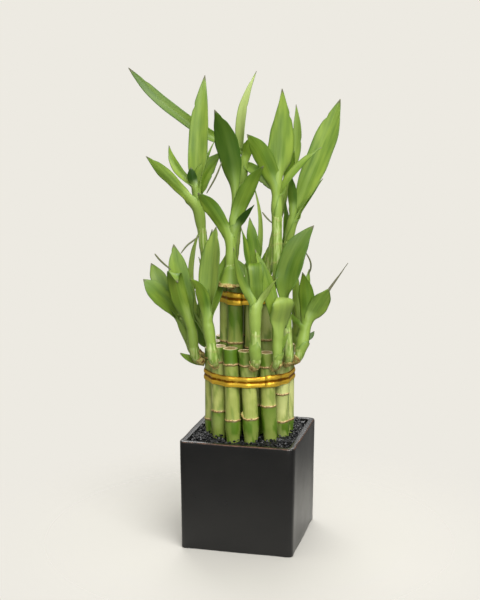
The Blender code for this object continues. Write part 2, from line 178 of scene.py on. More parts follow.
def add_piece(name, bm, material, replaces=(), sharp=None, wall=0.0):
    """A finished bmesh in millimetres as a piece of the object. A sheet is given a wall.

    Faces are shaded smooth but for edges past the sharp angle, or flat where that angle is 0.
    """
    bmesh.ops.scale(bm, vec=(MM, MM, MM), verts=bm.verts)
    mesh = bpy.data.meshes.new(name)
    bm.to_mesh(mesh)
    bm.free()
    if sharp != 0:
        mesh.shade_smooth()
    if sharp:
        mesh.set_sharp_from_angle(angle=math.radians(sharp))
    mesh.materials.append(material)
    obj = add_object(name, mesh)
    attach(obj, "root")
    if replaces:
        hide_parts(*replaces)
    if wall:
        solid = obj.modifiers.new("wall", "SOLIDIFY")
        solid.thickness = wall * MM
        solid.offset = 0.0


def clamp(value):
    return min(1.0, max(0.0, value))


def smooth_step(value):
    """From 0 to 1 as the value does, with an easy start and end."""
    value = clamp(value)
    return value * value * (3 - 2 * value)


def mix(a, b, share):
    return a + (b - a) * share


def stray(x, y=0.0, z=0.0):
    """A smooth random value from -1 to 1 that is always the same at a spot."""
    return noise.noise(Vector((x, y, z)))


def bell(off, width):
    """1 where off is 0, falling to nothing over about twice the width on both sides."""
    return math.exp(-(off / width) ** 2)


def seal(bm, gap=1e-3):
    """Merge the points that lie together, and turn every face outwards."""
    bmesh.ops.remove_doubles(bm, verts=bm.verts, dist=gap)
    bmesh.ops.recalc_face_normals(bm, faces=bm.faces)


def lay_grid(bm, across, along, place):
    """A grid whose every point goes where place(u, w) says, u from -1 to 1 and w from 0 to 1.

    place returns the point, its marks, its grain and its tone.
    """
    marks = bm.verts.layers.float_color["marks"]
    grain = bm.verts.layers.float_vector["grain"]
    tone = bm.verts.layers.float["tone"]
    made = bmesh.ops.create_grid(bm, x_segments=across, y_segments=along, size=1.0)
    for vert in made["verts"]:
        point, vert[marks], vert[grain], vert[tone] = place(vert.co.x, (vert.co.y + 1) / 2)
        vert.co = point


print("a bell 1 wide, half its width from the middle, is", round(bell(0.5, 1), 2), "high")

# %% [markdown]
# ## Light and floor
#
# The plant stands in a bright white room: the walls glow, so leaves show their colour rather than
# their shadows, and large soft lamps round the canes. The world is the room. What the camera sees
# of it is one warm white, and what lights the object is bright above and dim round the horizon, so
# the pot's upright faces stay black and its rim dark. The floor is a pale disc that fades out at
# its edge into the same white, so no horizon shows.

# %% World, lamps and floor
ROOM = "EDEAE2"                 # the white that shows behind the plant
GLOW = "F6F4EE"                 # and the white that lights it
ZENITH = (0.0, -0.15, 1.0)      # the room is brightest above, a little to the camera's side
GLOW_RISE = (0.05, 0.80)        # it brightens between these, where 1 is straight at the zenith
GLOW_POWER = (0.24, 1.10)       # from the first of these to the second
LAMP_AIM = 0.18                 # height that every lamp faces, in metres
# name, heading, rise, distance and size in metres, watts
LAMPS = [("key lamp", -52, 48, 1.3, 0.8, 20), ("front lamp", -72, 14, 1.4, 0.7, 6),
         ("back lamp", 110, 42, 1.2, 0.8, 12)]
FLOOR_REACH = 0.26              # where the floor has faded out, in metres
FLOOR_SOLID = 0.05              # and where it starts to fade
FLOOR_SIDES = 96


def light_world():
    world = bpy.data.worlds.new("white room")
    bpy.context.scene.world = world
    world.use_nodes = True
    world.node_tree.nodes.clear()
    node = partial(add_node, world.node_tree)
    upward = node("VectorMath", {0: node("TexCoord").outputs["Generated"],
                                 1: Vector(ZENITH).normalized()}, operation="DOT_PRODUCT")
    level = node("MapRange", {"Value": upward, "From Min": GLOW_RISE[0], "From Max": GLOW_RISE[1],
                              "To Min": GLOW_POWER[0], "To Max": GLOW_POWER[1]},
                 interpolation_type="SMOOTHSTEP")
    seen = node("Background", {"Color": ROOM, "Strength": 1.0})
    lighting = node("Background", {"Color": GLOW, "Strength": level})
    by_camera = node("LightPath").outputs["Is Camera Ray"]
    both = node("MixShader", {0: by_camera, 1: lighting, 2: seen})
    node("OutputWorld", {"Surface": both})


def add_lamp(name, heading, rise, distance, size, power):
    """A square soft white lamp that faces the middle of the plant."""
    data = bpy.data.lights.new(name, "AREA")
    data.size = size
    data.energy = power
    lamp = add_object(name, data)
    away = direction(heading, rise)
    lamp.location = away * distance + Vector((0, 0, LAMP_AIM))
    lamp.rotation_mode = "QUATERNION"
    lamp.rotation_quaternion = away.to_track_quat("Z", "Y")


def fading_white(node):
    place = node("TexCoord").outputs["Object"]
    reach = node("VectorMath", {0: place}, operation="LENGTH")
    fade = node("MapRange", {"Value": reach, "From Min": FLOOR_SOLID, "From Max": FLOOR_REACH,
                             "To Min": 1.0, "To Max": 0.0}, interpolation_type="SMOOTHSTEP")
    paint = node("BsdfDiffuse", {"Color": "B2B0AA"})
    clear = node("BsdfTransparent")
    return node("MixShader", {0: fade, 1: clear, 2: paint})


def lay_floor():
    bm = bmesh.new()
    bmesh.ops.create_circle(bm, cap_ends=True, segments=FLOOR_SIDES, radius=FLOOR_REACH)
    mesh = bpy.data.meshes.new("floor")
    bm.to_mesh(mesh)
    bm.free()
    mesh.materials.append(make_material("matt white sweep", fading_white))
    add_object("floor", mesh)


bpy.context.scene.view_settings.view_transform = "Standard"
light_world()
for lamp in LAMPS:
    add_lamp(*lamp)
lay_floor()
print("world and floor, and lamps:", len(LAMPS))

# %% [markdown]
# ## The pot
#
# A slip-cast stoneware cube under a satin black glaze. It is the CAD's block again with more
# segments: rounded uprights that are crisper at the foot, a slight draw towards the foot, a thick
# rim and a well with round corners. Cast clay is never quite flat, so its faces are cut into a
# grid and pushed in and out by a fraction of a millimetre, which bends the reflections. Where a
# glaze runs thin over an edge it breaks to brown, and a mark on the rim's points says where. That
# brown line along the rim is also a painted highlight.

# %% Pot shape
POT_SIDE = 90.6
POT_HALF = POT_SIDE / 2
POT_HEIGHT = 87.0
POT_TAPER = 1.1                 # how much further in each face stands at the foot
POT_WALL = 5.2
POT_FLOOR = 8.0
POT_CORNER = 6.0
POT_FOOT_CORNER = 4.0
CORNER_STEPS = 8
POT_RIM = 1.3                   # radius of every soft edge between a wall and a flat
RIM_STEPS = 4
WELL_CORNER = 12.0
FACE_CELLS = 12                 # cells along each side of a face
PILLOW = 1.1                    # how far a side's middle stands out past its edges
PILLOW_SPLIT = 0.45             # the share of that which lies outside the block's own side
FACE_DEPTH = 3.0                # what lies less than this inside a side belongs to its face
CAST_WARP = 0.22                # how far a cast face strays from flat
CAST_SPAN = 30.0                # length of one such swell
CAST_FROM = 10.0                # the foot stays true, and the swells grow over this height
# The rim's brown line: glaze thinned to brown, and a painted highlight along the edge.
WORN_HIGHLIGHT_IN = 0.5                   # the brown line, thin glaze and painted highlight, lies this far in from the rim's outer edge
WORN_HIGHLIGHT_REACH = 1.4                # and fades out this far on both sides
WORN_HIGHLIGHT_DROP = (1.6, 1.2)          # it starts this far under the top, and is full this much higher
WORN_HIGHLIGHT_SPAN = 14.0                # length of a stretch where that brown line is stronger or weaker


def soften_edges(bm, edges, radius, steps):
    bmesh.ops.bevel(bm, geom=edges, offset=radius, segments=steps, profile=0.5,
                    affect="EDGES", offset_type="OFFSET", material=-1)


def rounded_block():
    """The pot's block with round uprights, its faces cut into a grid of cells."""
    bm = new_bmesh()
    bmesh.ops.create_cube(bm, size=1.0)
    bmesh.ops.scale(bm, vec=(POT_SIDE, POT_SIDE, POT_HEIGHT), verts=bm.verts)
    bmesh.ops.translate(bm, vec=(0, 0, POT_HEIGHT / 2), verts=bm.verts)
    upright = [e for e in bm.edges if abs(e.verts[0].co.z - e.verts[1].co.z) > 1]
    soften_edges(bm, upright, POT_CORNER, CORNER_STEPS)
    bm.normal_update()
    flat = POT_HALF - POT_CORNER
    for axis, start, end in ((Vector((1, 0, 0)), -flat, flat), (Vector((0, 1, 0)), -flat, flat),
                             (Vector((0, 0, 1)), 0, POT_HEIGHT)):
        for k in range(1, FACE_CELLS):
            bmesh.ops.bisect_plane(bm, geom=bm.verts[:] + bm.edges[:] + bm.faces[:], dist=1e-4,
                                   plane_co=axis * mix(start, end, k / FACE_CELLS), plane_no=axis)
    return bm


def square_ring_at(co, side, corner):
    """Where a point of the pot's outline lies on a square of another side and corner."""
    flat = POT_HALF - POT_CORNER
    new_half, new_flat = side / 2, side / 2 - corner
    placed = []
    for value in (co.x, co.y):
        size = abs(value)
        if size < flat:
            moved = size / flat * new_flat
        else:
            moved = new_flat + (size - flat) / POT_CORNER * corner
        placed.append(math.copysign(min(moved, new_half), value))
    return placed


def sink_well(bm):
    """Inset the top for the wall, round the mouth's corners and sink it to the well's floor."""
    top = [f for f in bm.faces if f.normal.z > 0.9]
    rim = bmesh.ops.inset_region(bm, faces=top, thickness=POT_WALL, use_even_offset=True)["faces"]
    mouth = [f for f in bm.faces if f.normal.z > 0.9 and f not in rim]
    mouth_side = POT_SIDE - 2 * POT_WALL
    for vert in {v for f in mouth for v in f.verts}:
        if any(f in rim for f in vert.link_faces):
            vert.co.x, vert.co.y = square_ring_at(vert.co * (POT_SIDE / mouth_side),
                                                  mouth_side, WELL_CORNER)
    well = bmesh.ops.extrude_face_region(bm, geom=mouth)
    bmesh.ops.delete(bm, geom=mouth, context="FACES")
    sunk = [g for g in well["geom"] if isinstance(g, bmesh.types.BMVert)]
    bmesh.ops.translate(bm, vec=(0, 0, POT_FLOOR - POT_HEIGHT), verts=sunk)
    bm.normal_update()
    edges = [e for e in bm.edges if len(e.link_faces) == 2
             and abs(e.link_faces[0].normal.z - e.link_faces[1].normal.z) > 0.5]
    soften_edges(bm, edges, POT_RIM, RIM_STEPS)


def draw_outside(co):
    """Move a point of the outside: crisper uprights and less width at the foot, pillowed faces."""
    up = co.z / POT_HEIGHT
    corner = mix(POT_FOOT_CORNER, POT_CORNER, up)
    if min(abs(co.x), abs(co.y)) > POT_HALF - POT_CORNER - POT_RIM:
        for axis in (0, 1):
            turned = (abs(co[axis]) - (POT_HALF - POT_CORNER)) / POT_CORNER
            co[axis] = math.copysign(POT_HALF - corner + turned * corner, co[axis])
    co.xy *= 1 - 2 * POT_TAPER / POT_SIDE * (1 - up)
    for axis in (0, 1):
        across = min(1.0, abs(co[1 - axis]) / POT_HALF)
        if abs(co[axis]) > POT_HALF - FACE_DEPTH:
            co[axis] += math.copysign(PILLOW * (PILLOW_SPLIT - across ** 2), co[axis])


def make_pot():
    bm = rounded_block()
    sink_well(bm)
    seal(bm)
    marks = bm.verts.layers.float_color["marks"]
    for vert in bm.verts:
        co = vert.co
        to_edge = POT_HALF - max(abs(co.x), abs(co.y))
        # the rim's brown line: thin glaze, and a painted highlight
        worn_and_highlight = smooth_step(1 - abs(to_edge - WORN_HIGHLIGHT_IN) / WORN_HIGHLIGHT_REACH)
        worn_and_highlight *= smooth_step((co.z - POT_HEIGHT + WORN_HIGHLIGHT_DROP[0]) / WORN_HIGHLIGHT_DROP[1])
        if max(abs(co.x), abs(co.y)) > POT_HALF - POT_WALL / 2:
            draw_outside(co)
        if co.z > POT_RIM:
            warp = noise.noise(co / CAST_SPAN) * CAST_WARP - CAST_WARP / 2
            co += vert.normal * warp * min(1.0, (co.z - POT_RIM) / CAST_FROM)
        along_edge = noise.noise(co / WORN_HIGHLIGHT_SPAN) * 0.5 + 0.5
        vert[marks] = (worn_and_highlight * mix(0.5, 1.0, along_edge), 0, 0, 1)
    return bm


pot_shape = make_pot()
print("pot faces:", len(pot_shape.faces))

# %% [markdown]
# ## Black glaze
#
# Stoneware with a satin black iron glaze, fired in a kiln. It is a dark glassy coat, so its colour
# comes mostly from what it mirrors: nearly nothing head-on and a soft grey sheen along a face that
# is seen at a slant. Glaze has an index of about 1.5. The fine orange-peel of a fired glaze is
# about 2 mm across, and it breaks to a rusty brown where it is thin. Along the rim's edge that
# brown is also a painted highlight, for the light that the rounded edge catches.

# %% Black glaze
def glaze_nodes(node):
    place = node("TexCoord").outputs["Object"]
    marks = node("SeparateColor", {"Color": node("Attribute", attribute_name="marks")}).outputs
    cloud = node("TexNoise", {"Vector": place, "Scale": every(18), "Detail": 4.0,
                              "Roughness": 0.55})
    body = node("Mix", {"Factor": cloud, "A": "0B0C0D", "B": "141312"}, data_type="RGBA")
    fleck = node("TexNoise", {"Vector": place, "Scale": every(3), "Detail": 3.0})
    # the rim's brown line: glaze broken brown where thin, and a painted highlight
    worn_and_highlight = node("Math", {0: marks["Red"], 1: fleck}, operation="MULTIPLY")
    broken = node("MapRange", {"Value": worn_and_highlight, "From Min": 0.18, "From Max": 0.5, "To Max": 0.75})
    colour = node("Mix", {"Factor": broken, "A": body, "B": "6E4C38"}, data_type="RGBA")
    rough = node("MapRange", {"Value": cloud, "To Min": 0.24, "To Max": 0.36})
    peel = node("TexNoise", {"Vector": place, "Scale": every(2), "Detail": 2.0})
    bump = node("Bump", {"Height": peel, "Strength": 0.12, "Distance": 0.12 * MM})
    return node("BsdfPrincipled", {"Base Color": colour, "Roughness": rough, "IOR": 1.5,
                                   "Normal": bump})


black_glaze = make_material("satin black stoneware glaze, fired", glaze_nodes)
add_piece("pot_glazed", pot_shape, black_glaze, ["pot"], sharp=50)
print("pot made")

# %% [markdown]
# ## Where the canes stand
#
# The CAD has thirteen short canes in a ring and seven tall ones inside it. The same few numbers
# are needed here, because each cane, stone and shoot is placed by them: a ring's radius and start,
# each cane's height, its joints and its slight lean.

# %% Canes' places
CANE_RADIUS = 5.8
CANE_BUTT = 6.15                # radius below the lowest joint
CANE_BURIED = 86.5              # height where a cane enters the stones
CANE_FOOT = 58.0                # and where it ends among them
OUTER_COUNT, OUTER_RING, OUTER_START = 13, 29.6, -157.0
INNER_COUNT, INNER_RING, INNER_START = 7, 15.6, -164.0
INNER_CENTRE = (-1.7, -0.4)
# the heights of its top and joints, how far its top leans sideways, and how far its foot does
Cane = namedtuple("Cane", "top nodes bow kick", defaults=[0.0])
OUTER_CANES = [
    Cane(155, (98, 147), 0.0), Cane(159, (108, 147), -0.6), Cane(159, (103, 147), -2.4),
    Cane(158, (105, 147), -4.6), Cane(156, (114, 145), -2.2, 1.7),
    Cane(156, (99, 121, 147), 0.0, 1.3), Cane(157, (97, 147), 0.5, 0.6),
    Cane(159, (110, 147), -0.5), Cane(155, (102, 146), 1.0), Cane(158, (118, 147), 0.0),
    Cane(156, (106, 147), -1.0), Cane(159, (112, 147), 0.6), Cane(157, (101, 146), 0.0),
]
INNER_CANES = [
    Cane(210, (110, 160, 205), 0.0), Cane(211, (104, 161, 206), 0.0),
    Cane(209, (112, 158, 205), 0.4), Cane(209, (107, 162, 205), 0.0),
    Cane(210, (115, 159, 205), 0.0), Cane(208, (103, 161, 205), 0.0),
    Cane(207, (109, 157, 203), 0.0),
]
CANE_TAGS = ([f"outer_{k + 1:02d}" for k in range(OUTER_COUNT)]
             + [f"inner_{k + 1}" for k in range(INNER_COUNT)])
CANES = dict(zip(CANE_TAGS, OUTER_CANES + INNER_CANES))


def cane_axis(tag):
    """Where a cane stands on its ring."""
    ring, number = tag.split("_")
    step = int(number) - 1
    if ring == "outer":
        return direction(OUTER_START + 360 / OUTER_COUNT * step, 0) * OUTER_RING
    return (direction(INNER_START + 360 / INNER_COUNT * step, 0) * INNER_RING
            + Vector((*INNER_CENTRE, 0)))


def cane_centre(tag, height):
    """The middle of a cane at a height: it leans sideways to its top and, with a kick, its foot."""
    cane, axis = CANES[tag], cane_axis(tag)
    along = (height - CANE_FOOT) / (cane.top - CANE_FOOT)
    node = min(cane.nodes)
    kicked = clamp((node - height) / (node - CANE_BURIED))
    drift = cane.bow * along ** 3 + cane.kick * kicked
    return Vector((axis.x, axis.y, height)) + Vector((-axis.y, axis.x, 0)) / axis.length * drift


print("canes:", len(CANE_TAGS))

# %% [markdown]
# ## Cane shape
#
# A Dracaena cane is a smooth stalk with a joint every few centimetres, where a leaf once wrapped
# it. At a joint the upper length flares into a thin ragged tan lip, and the lower one starts a
# little narrower. Below the lowest joint the stalk is stouter and draws in where it enters the
# stones. The top is sawn off flat and dipped in wax. One outline turned round the axis with spin
# gives all of that, and then small pushes take away the lathe's perfection.

# %% Cane shape
CANE_STEPS = 30                 # sides of the turned stalk
ROW_STEP = 2.5                  # height of a row between joints
ROW_GAP = 0.8                   # and the least distance from a joint's own rows
LIP = 0.50                      # how far a joint's lip stands out
NECK = 0.22                     # how much narrower the stalk starts below it
LIP_OFFSETS = (-3.4, -2.2, -1.5, -1.05, -0.75, -0.5, -0.25, 0, 0.25, 0.55, 0.9, 1.4, 2.2, 3.4)
LIP_RAG = 0.50                  # how far a lip strays up and down
FOOT_DRAW = 0.95                # how much a cane narrows where it enters the stones
FOOT_SPAN = 11.0
TOP_DISH = 0.25
SAWN = 3.0                      # the tone that marks the cut top, past every green's
# from the skin inwards: where the cut starts, where its heart does, and over what that blends
CUT_RIM = (0.2, 0.9, 0.5)
INNER_STOUT = 0.25              # the tall canes are this much thicker
SWELL = 0.22                    # how far a stalk strays from round
SWELL_SPAN = 22.0               # length of one such swell
LIP_TAN = (0.15, 0.62)          # the tan ring's height over the joint, and half its width
LIP_LINE = (-0.85, 0.34)        # and the dark line's under it
# how much deeper the green is: painted shade just under a joint and how soon that fades, a deeper
# green below the lowest joint, painted shade under the leaves above the top one, and painted shade
# all over the tall canes
JOINT_SHADE, JOINT_SHADE_FADE, BUTT_DEEP, HEAD_SHADE, INNER_SHADE = 0.45, 7.0, 0.50, 0.55, 0.3
# painted shade: the tops of these canes are darker still under the leaves
SHADED_HEADS = {"outer_03": 1.0, "outer_04": 0.7}
LEAF_SHADOWS = {"inner_2": (182.0, 12.0)}      # a painted leaf shadow: its height and its reach
LEAF_SHADOW_DEEP = 0.6
PATCH_DEEP = 0.5                # darker blotches, a few millimetres wide and longer than that
PATCH_SPAN = 13.0


def cane_radius(cane, height):
    lowest = min(cane.nodes)
    radius = CANE_BUTT if height < lowest - 0.6 else CANE_RADIUS
    for node in cane.nodes:
        above = height - node
        if above >= 0:
            radius += LIP * math.exp(-above / 1.1) * math.exp(-above / 2.5)
        elif above > -8:
            radius += LIP * bell(above, 0.35) - NECK * math.exp(above / 1.2)
    drawn = smooth_step((CANE_BURIED + FOOT_SPAN - height) / FOOT_SPAN)
    return radius - FOOT_DRAW * drawn


def cane_rows(cane):
    """Heights for the outline: even steps, with more of them at each joint."""
    rows = {round(node + off, 2) for node in cane.nodes for off in LIP_OFFSETS
            if node + off < cane.top - 1}
    count = round((cane.top - CANE_FOOT) / ROW_STEP)
    for k in range(count):
        height = CANE_FOOT + (cane.top - 1.0 - CANE_FOOT) * k / count
        if all(abs(height - other) > ROW_GAP for other in rows):
            rows.add(round(height, 2))
    return sorted(rows)


def turned_stalk(cane, edge):
    """The outline from the middle of the cut top, over its edge and down to the foot, spun."""
    bm = new_bmesh()
    outline = [(0, cane.top - TOP_DISH), (edge * 0.55, cane.top - TOP_DISH * 0.8),
               (edge - 0.75, cane.top - 0.05), (edge - 0.3, cane.top),
               (edge - 0.05, cane.top - 0.3), (edge, cane.top - 0.7)]
    outline += [(cane_radius(cane, z), z) for z in reversed(cane_rows(cane))]
    outline += [(cane_radius(cane, CANE_FOOT) * 0.6, CANE_FOOT), (0, CANE_FOOT)]
    verts = [bm.verts.new((r, 0, z)) for r, z in outline]
    edges = [bm.edges.new(pair) for pair in zip(verts, verts[1:])]
    bmesh.ops.spin(bm, geom=verts + edges, cent=(0, 0, 0), axis=(0, 0, 1), angle=2 * math.pi,
                   steps=CANE_STEPS, use_merge=True)
    seal(bm)
    return bm


def make_stalk(tag, rng):
    cane, inner = CANES[tag], "inner" in tag
    edge = cane_radius(cane, cane.top)
    bm = turned_stalk(cane, edge)
    marks = bm.verts.layers.float_color["marks"]
    tone_layer = bm.verts.layers.float["tone"]
    seed = Vector((rng.uniform(0, 90), rng.uniform(0, 90), 0))
    tone = rng.uniform(-1, 1)
    for vert in bm.verts:
        co = vert.co.copy()
        around = Vector((co.x, co.y, 0)).normalized() if co.xy.length > 0.1 else Vector()
        off = co.z - min(cane.nodes, key=lambda n: abs(n - co.z))
        lip, line = bell(off - LIP_TAN[0], LIP_TAN[1]), bell(off - LIP_LINE[0], LIP_LINE[1])
        # the deep mark: painted shade under each joint, above the top joint and on the tall canes,
        # and a painted leaf shadow, over a deeper butt and random blotches
        deep_and_shade = JOINT_SHADE * math.exp(off / JOINT_SHADE_FADE) if off < -0.4 else 0.0
        deep_and_shade += BUTT_DEEP if co.z < min(cane.nodes) - 0.5 else 0.0
        deep_and_shade += SHADED_HEADS.get(tag, HEAD_SHADE) if co.z > max(cane.nodes) else INNER_SHADE * inner
        spot, reach = LEAF_SHADOWS.get(tag, (0.0, 1.0))
        blotch = noise.noise(Vector((around.x * 1.7, around.y * 1.7, co.z / PATCH_SPAN)) - seed)
        deep_and_shade += LEAF_SHADOW_DEEP * bell(co.z - spot, reach)
        deep_and_shade += PATCH_DEEP * smooth_step((blotch - 0.08) / 0.22)
        top = co.z > cane.top - 0.5
        sawn = top and co.xy.length < edge - CUT_RIM[0]
        heart = smooth_step((edge - CUT_RIM[1] - co.xy.length) / CUT_RIM[2])
        vert[marks] = (lip, line, heart if sawn else min(1.0, deep_and_shade), 1)
        vert[tone_layer] = SAWN if sawn else tone
        if not top:
            near = bell(off, 2.2)
            rag = noise.noise(around * 1.7 + seed) + noise.noise(around * 5 + seed) * 0.5
            swell = noise.noise(
                Vector((around.x * 1.3, around.y * 1.3, co.z / SWELL_SPAN)) + seed) * SWELL
            vert.co.z += LIP_RAG * rag * near
            vert.co += around * (swell + INNER_STOUT * inner
                                 + 0.10 * near * noise.noise(around * 6 + seed))
        vert.co += cane_centre(tag, co.z) - Vector((0, 0, co.z))
    return bm


print("a cane has", len(cane_rows(OUTER_CANES[0])), "rows of", CANE_STEPS)

# %% [markdown]
# ## Cane skin
#
# A living green stalk with a thin wax bloom, smooth to the touch. Its green runs in faint streaks
# along the stalk, about 1 mm wide. Under each joint it is painted a deeper green as shade under the
# joint, and the joint's old leaf base has dried to tan with a dark line below. Shade is painted as
# a deeper green too above the top joint, under the leaves, and on the tall inner canes, and one
# painted leaf shadow lies across an inner cane. The sawn top is pale wood under clear wax. Plant
# skin has an index of about 1.45.

# %% Cane skin
def cane_nodes(node):
    place = node("TexCoord").outputs["Object"]
    marks = node("SeparateColor", {"Color": node("Attribute", attribute_name="marks")}).outputs
    tone = node("Attribute", attribute_name="tone").outputs["Fac"]
    streaky = node("Mapping", {"Vector": place, "Scale": (every(1.1), every(1.1), every(26))})
    streak = node("TexNoise", {"Vector": streaky, "Scale": 1.0, "Detail": 3.0, "Roughness": 0.6})
    cloud = node("TexNoise", {"Vector": place, "Scale": every(14), "Detail": 2.0})
    shift = node("MapRange", {"Value": tone, "From Min": -1.0, "From Max": 1.0, "To Min": -0.22,
                              "To Max": 0.22})
    blend = node("Math", {0: cloud, 1: shift}, operation="ADD", use_clamp=True)
    green = node("ValToRGB", {"Fac": blend}, stops=[(0.22, "89953C"), (0.50, "A3AB57"),
                                                    (0.78, "B9BE77")])
    streaked = node("Mix", {"Factor": streak, "A": "CFD09C", "B": "849338"}, data_type="RGBA")
    fleck = node("TexNoise", {"Vector": place, "Scale": every(1.3), "Detail": 3.0})
    tan = node("ValToRGB", {"Fac": fleck}, stops=[(0.36, "6E4A26"), (0.48, "B48E5E"),
                                                  (0.70, "D8BE92")])
    sawn = node("Math", {0: tone, 1: 1.01}, operation="GREATER_THAN")
    heart = node("ValToRGB", {"Fac": fleck}, stops=[(0.32, "6E5B3A"), (0.52, "96794F"),
                                                    (0.70, "AF9268")])
    wood = node("Mix", {"Factor": marks["Blue"], "A": "CDBB92", "B": heart}, data_type="RGBA")
    # the blue mark paints shade as a deeper green, with the butt's deeper green and random
    # blotches; on the sawn top it marks the heart
    colour = green
    for factor, coat in ((0.22, streaked), (marks["Blue"], "4F6D18"), (marks["Red"], tan),
                         (marks["Green"], "5A4A22"), (sawn, wood)):
        colour = node("Mix", {"Factor": factor, "A": colour, "B": coat}, data_type="RGBA")
    rough = node("MapRange", {"Value": marks["Red"], "To Min": 0.38, "To Max": 0.7})
    bump = node("Bump", {"Height": streak, "Strength": 0.25, "Distance": 0.10 * MM})
    return node("BsdfPrincipled", {"Base Color": colour, "Roughness": rough, "IOR": 1.45,
                                   "Normal": bump})


cane_skin = make_material("green Dracaena cane, waxy living skin", cane_nodes)
cane_dice = random.Random(7)
for tag in CANE_TAGS:
    add_piece("stalk_" + tag, make_stalk(tag, cane_dice), cane_skin, ["cane_" + tag],
              sharp=60)
print("stalks:", len(CANE_TAGS))

# %% [markdown]
# ## Gravel
#
# Crushed black stone, each chip 2.5 to 4.5 mm across with flat broken faces. The CAD's bed stays
# as the dark ground under them. A chip is the convex hull of eleven random points, which gives the
# few flat facets of broken stone and costs little. The chips are scattered in layers with a least
# distance between them, kept off the canes, and heaped a little at one side.

# %% Gravel chips
WELL_HALF = POT_HALF - POT_WALL
BED_TOP = 84.5
BED_CROWN = 1.8                 # how much higher the bed stands past its bank
BED_BANK = 7.0                  # width of the bank along the wall
CHIP_POINTS = 11
CHIP_LAYERS = [(0.0, 2.4, 1.0), (1.6, 2.7, 0.8), (3.2, 3.3, 0.3)]   # lift, spacing, share kept
CHIP_SIZES = (2.8, 4.8)
CHIP_TRIES = 9000               # random spots tried for each layer
CHIP_EASE = (-0.3, 0.4)         # how far a chip lies under or over its layer
WALL_GAP = 1.3                  # least distance from a chip's middle to the wall
HEAP_SPOT = (-33.0, 14.0)       # a heap that stands a little over the rim
HEAP_RISE = 2.6
HEAP_REACH = 14.0


def in_well(x, y):
    """Whether a chip's middle may lie here, inside the well's rounded square."""
    flat = WELL_HALF - WELL_CORNER
    dx, dy = max(0.0, abs(x) - flat), max(0.0, abs(y) - flat)
    return math.hypot(dx, dy) < WELL_CORNER - WALL_GAP


def bed_height(x, y):
    inside = WELL_HALF - max(abs(x), abs(y))
    heap = bell(math.hypot(x - HEAP_SPOT[0], y - HEAP_SPOT[1]), HEAP_REACH)
    return BED_TOP + BED_CROWN * clamp(inside / BED_BANK) + HEAP_RISE * heap


def clear_of_canes(x, y, margin):
    spots = [cane_centre(tag, CANE_BURIED + 1) for tag in CANE_TAGS]
    return all(math.hypot(x - s.x, y - s.y) > CANE_RADIUS - 0.3 + margin for s in spots)


def scatter(rng, spacing):
    """Random spots in the well, none nearer to another than the spacing.

    The cells are so small that each holds one spot at most, and only spots near by are compared.
    """
    cell = spacing / math.sqrt(2)
    taken = {}
    spots = []
    for _ in range(CHIP_TRIES):
        x, y = rng.uniform(-WELL_HALF, WELL_HALF), rng.uniform(-WELL_HALF, WELL_HALF)
        if not in_well(x, y):
            continue
        i, j = int(x // cell), int(y // cell)
        near = [taken[a, b] for a in range(i - 2, i + 3) for b in range(j - 2, j + 3)
                if (a, b) in taken]
        if all(math.hypot(x - u, y - v) >= spacing for u, v in near):
            taken[i, j] = (x, y)
            spots.append((x, y))
    return spots


def add_chip(bm, centre, size, rng):
    """One broken chip: the hull of a few points on a squashed, turned ball."""
    squash = Vector((1.0, rng.uniform(0.65, 0.95), rng.uniform(0.5, 0.85)))
    turn = Matrix.Rotation(rng.uniform(0, 2 * math.pi), 3, "Z") @ Matrix.Rotation(
        rng.uniform(-0.7, 0.7), 3, "X")
    verts = []
    for _ in range(CHIP_POINTS):
        spot = Vector((rng.gauss(0, 1), rng.gauss(0, 1), rng.gauss(0, 1))).normalized()
        spot = Vector(a * b for a, b in zip(spot, squash)) * size / 2 * rng.uniform(0.8, 1.0)
        verts.append(bm.verts.new(turn @ spot + centre))
    hull = bmesh.ops.convex_hull(bm, input=verts)
    inner = [v for v in hull["geom_interior"] if isinstance(v, bmesh.types.BMVert)]
    bmesh.ops.delete(bm, geom=inner, context="VERTS")


def make_chips():
    rng = random.Random(23)
    bm = new_bmesh()
    count = 0
    for lift, spacing, share in CHIP_LAYERS:
        for x, y in scatter(rng, spacing):
            size = rng.uniform(*CHIP_SIZES)
            if rng.random() > share or not clear_of_canes(x, y, size * 0.42):
                continue
            centre = Vector((x, y, bed_height(x, y) + lift + rng.uniform(*CHIP_EASE)))
            add_chip(bm, centre, size, rng)
            count += 1
    bmesh.ops.recalc_face_normals(bm, faces=bm.faces)
    return bm, count


chips, chip_count = make_chips()
print("chips:", chip_count)

# %% [markdown]
# ## Black stone
#
# Crushed black basalt or glass slag, broken and not polished. Its faces are smooth enough to flash
# where they catch the lamp and are otherwise almost black, with a cold cast. The index is about
# 1.55, and the pits are 1 mm across.

# %% Black stone
def stone_nodes(node):
    place = node("TexCoord").outputs["Object"]
    patch = node("TexNoise", {"Vector": place, "Scale": every(2.4), "Detail": 2.0})
    colour = node("ValToRGB", {"Fac": patch}, stops=[(0.35, "030304"), (0.55, "0A0B0E"),
                                                     (0.75, "181A22")])
    rough = node("MapRange", {"Value": patch, "From Min": 0.3, "From Max": 0.7, "To Min": 0.34,
                              "To Max": 0.7})
    pits = node("TexVoronoi", {"Vector": place, "Scale": every(0.9)})
    bump = node("Bump", {"Height": pits.outputs["Distance"], "Strength": 0.4,
                         "Distance": 0.25 * MM})
    return node("BsdfPrincipled", {"Base Color": colour, "Roughness": rough, "IOR": 1.55,
                                   "Normal": bump})


black_stone = make_material("crushed black stone, broken faces", stone_nodes)
add_piece("gravel_chips", chips, black_stone, sharp=0)
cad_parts["gravel"].data.materials.clear()
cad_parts["gravel"].data.materials.append(black_stone)
print("gravel made, and the bed under it is of the same stone")

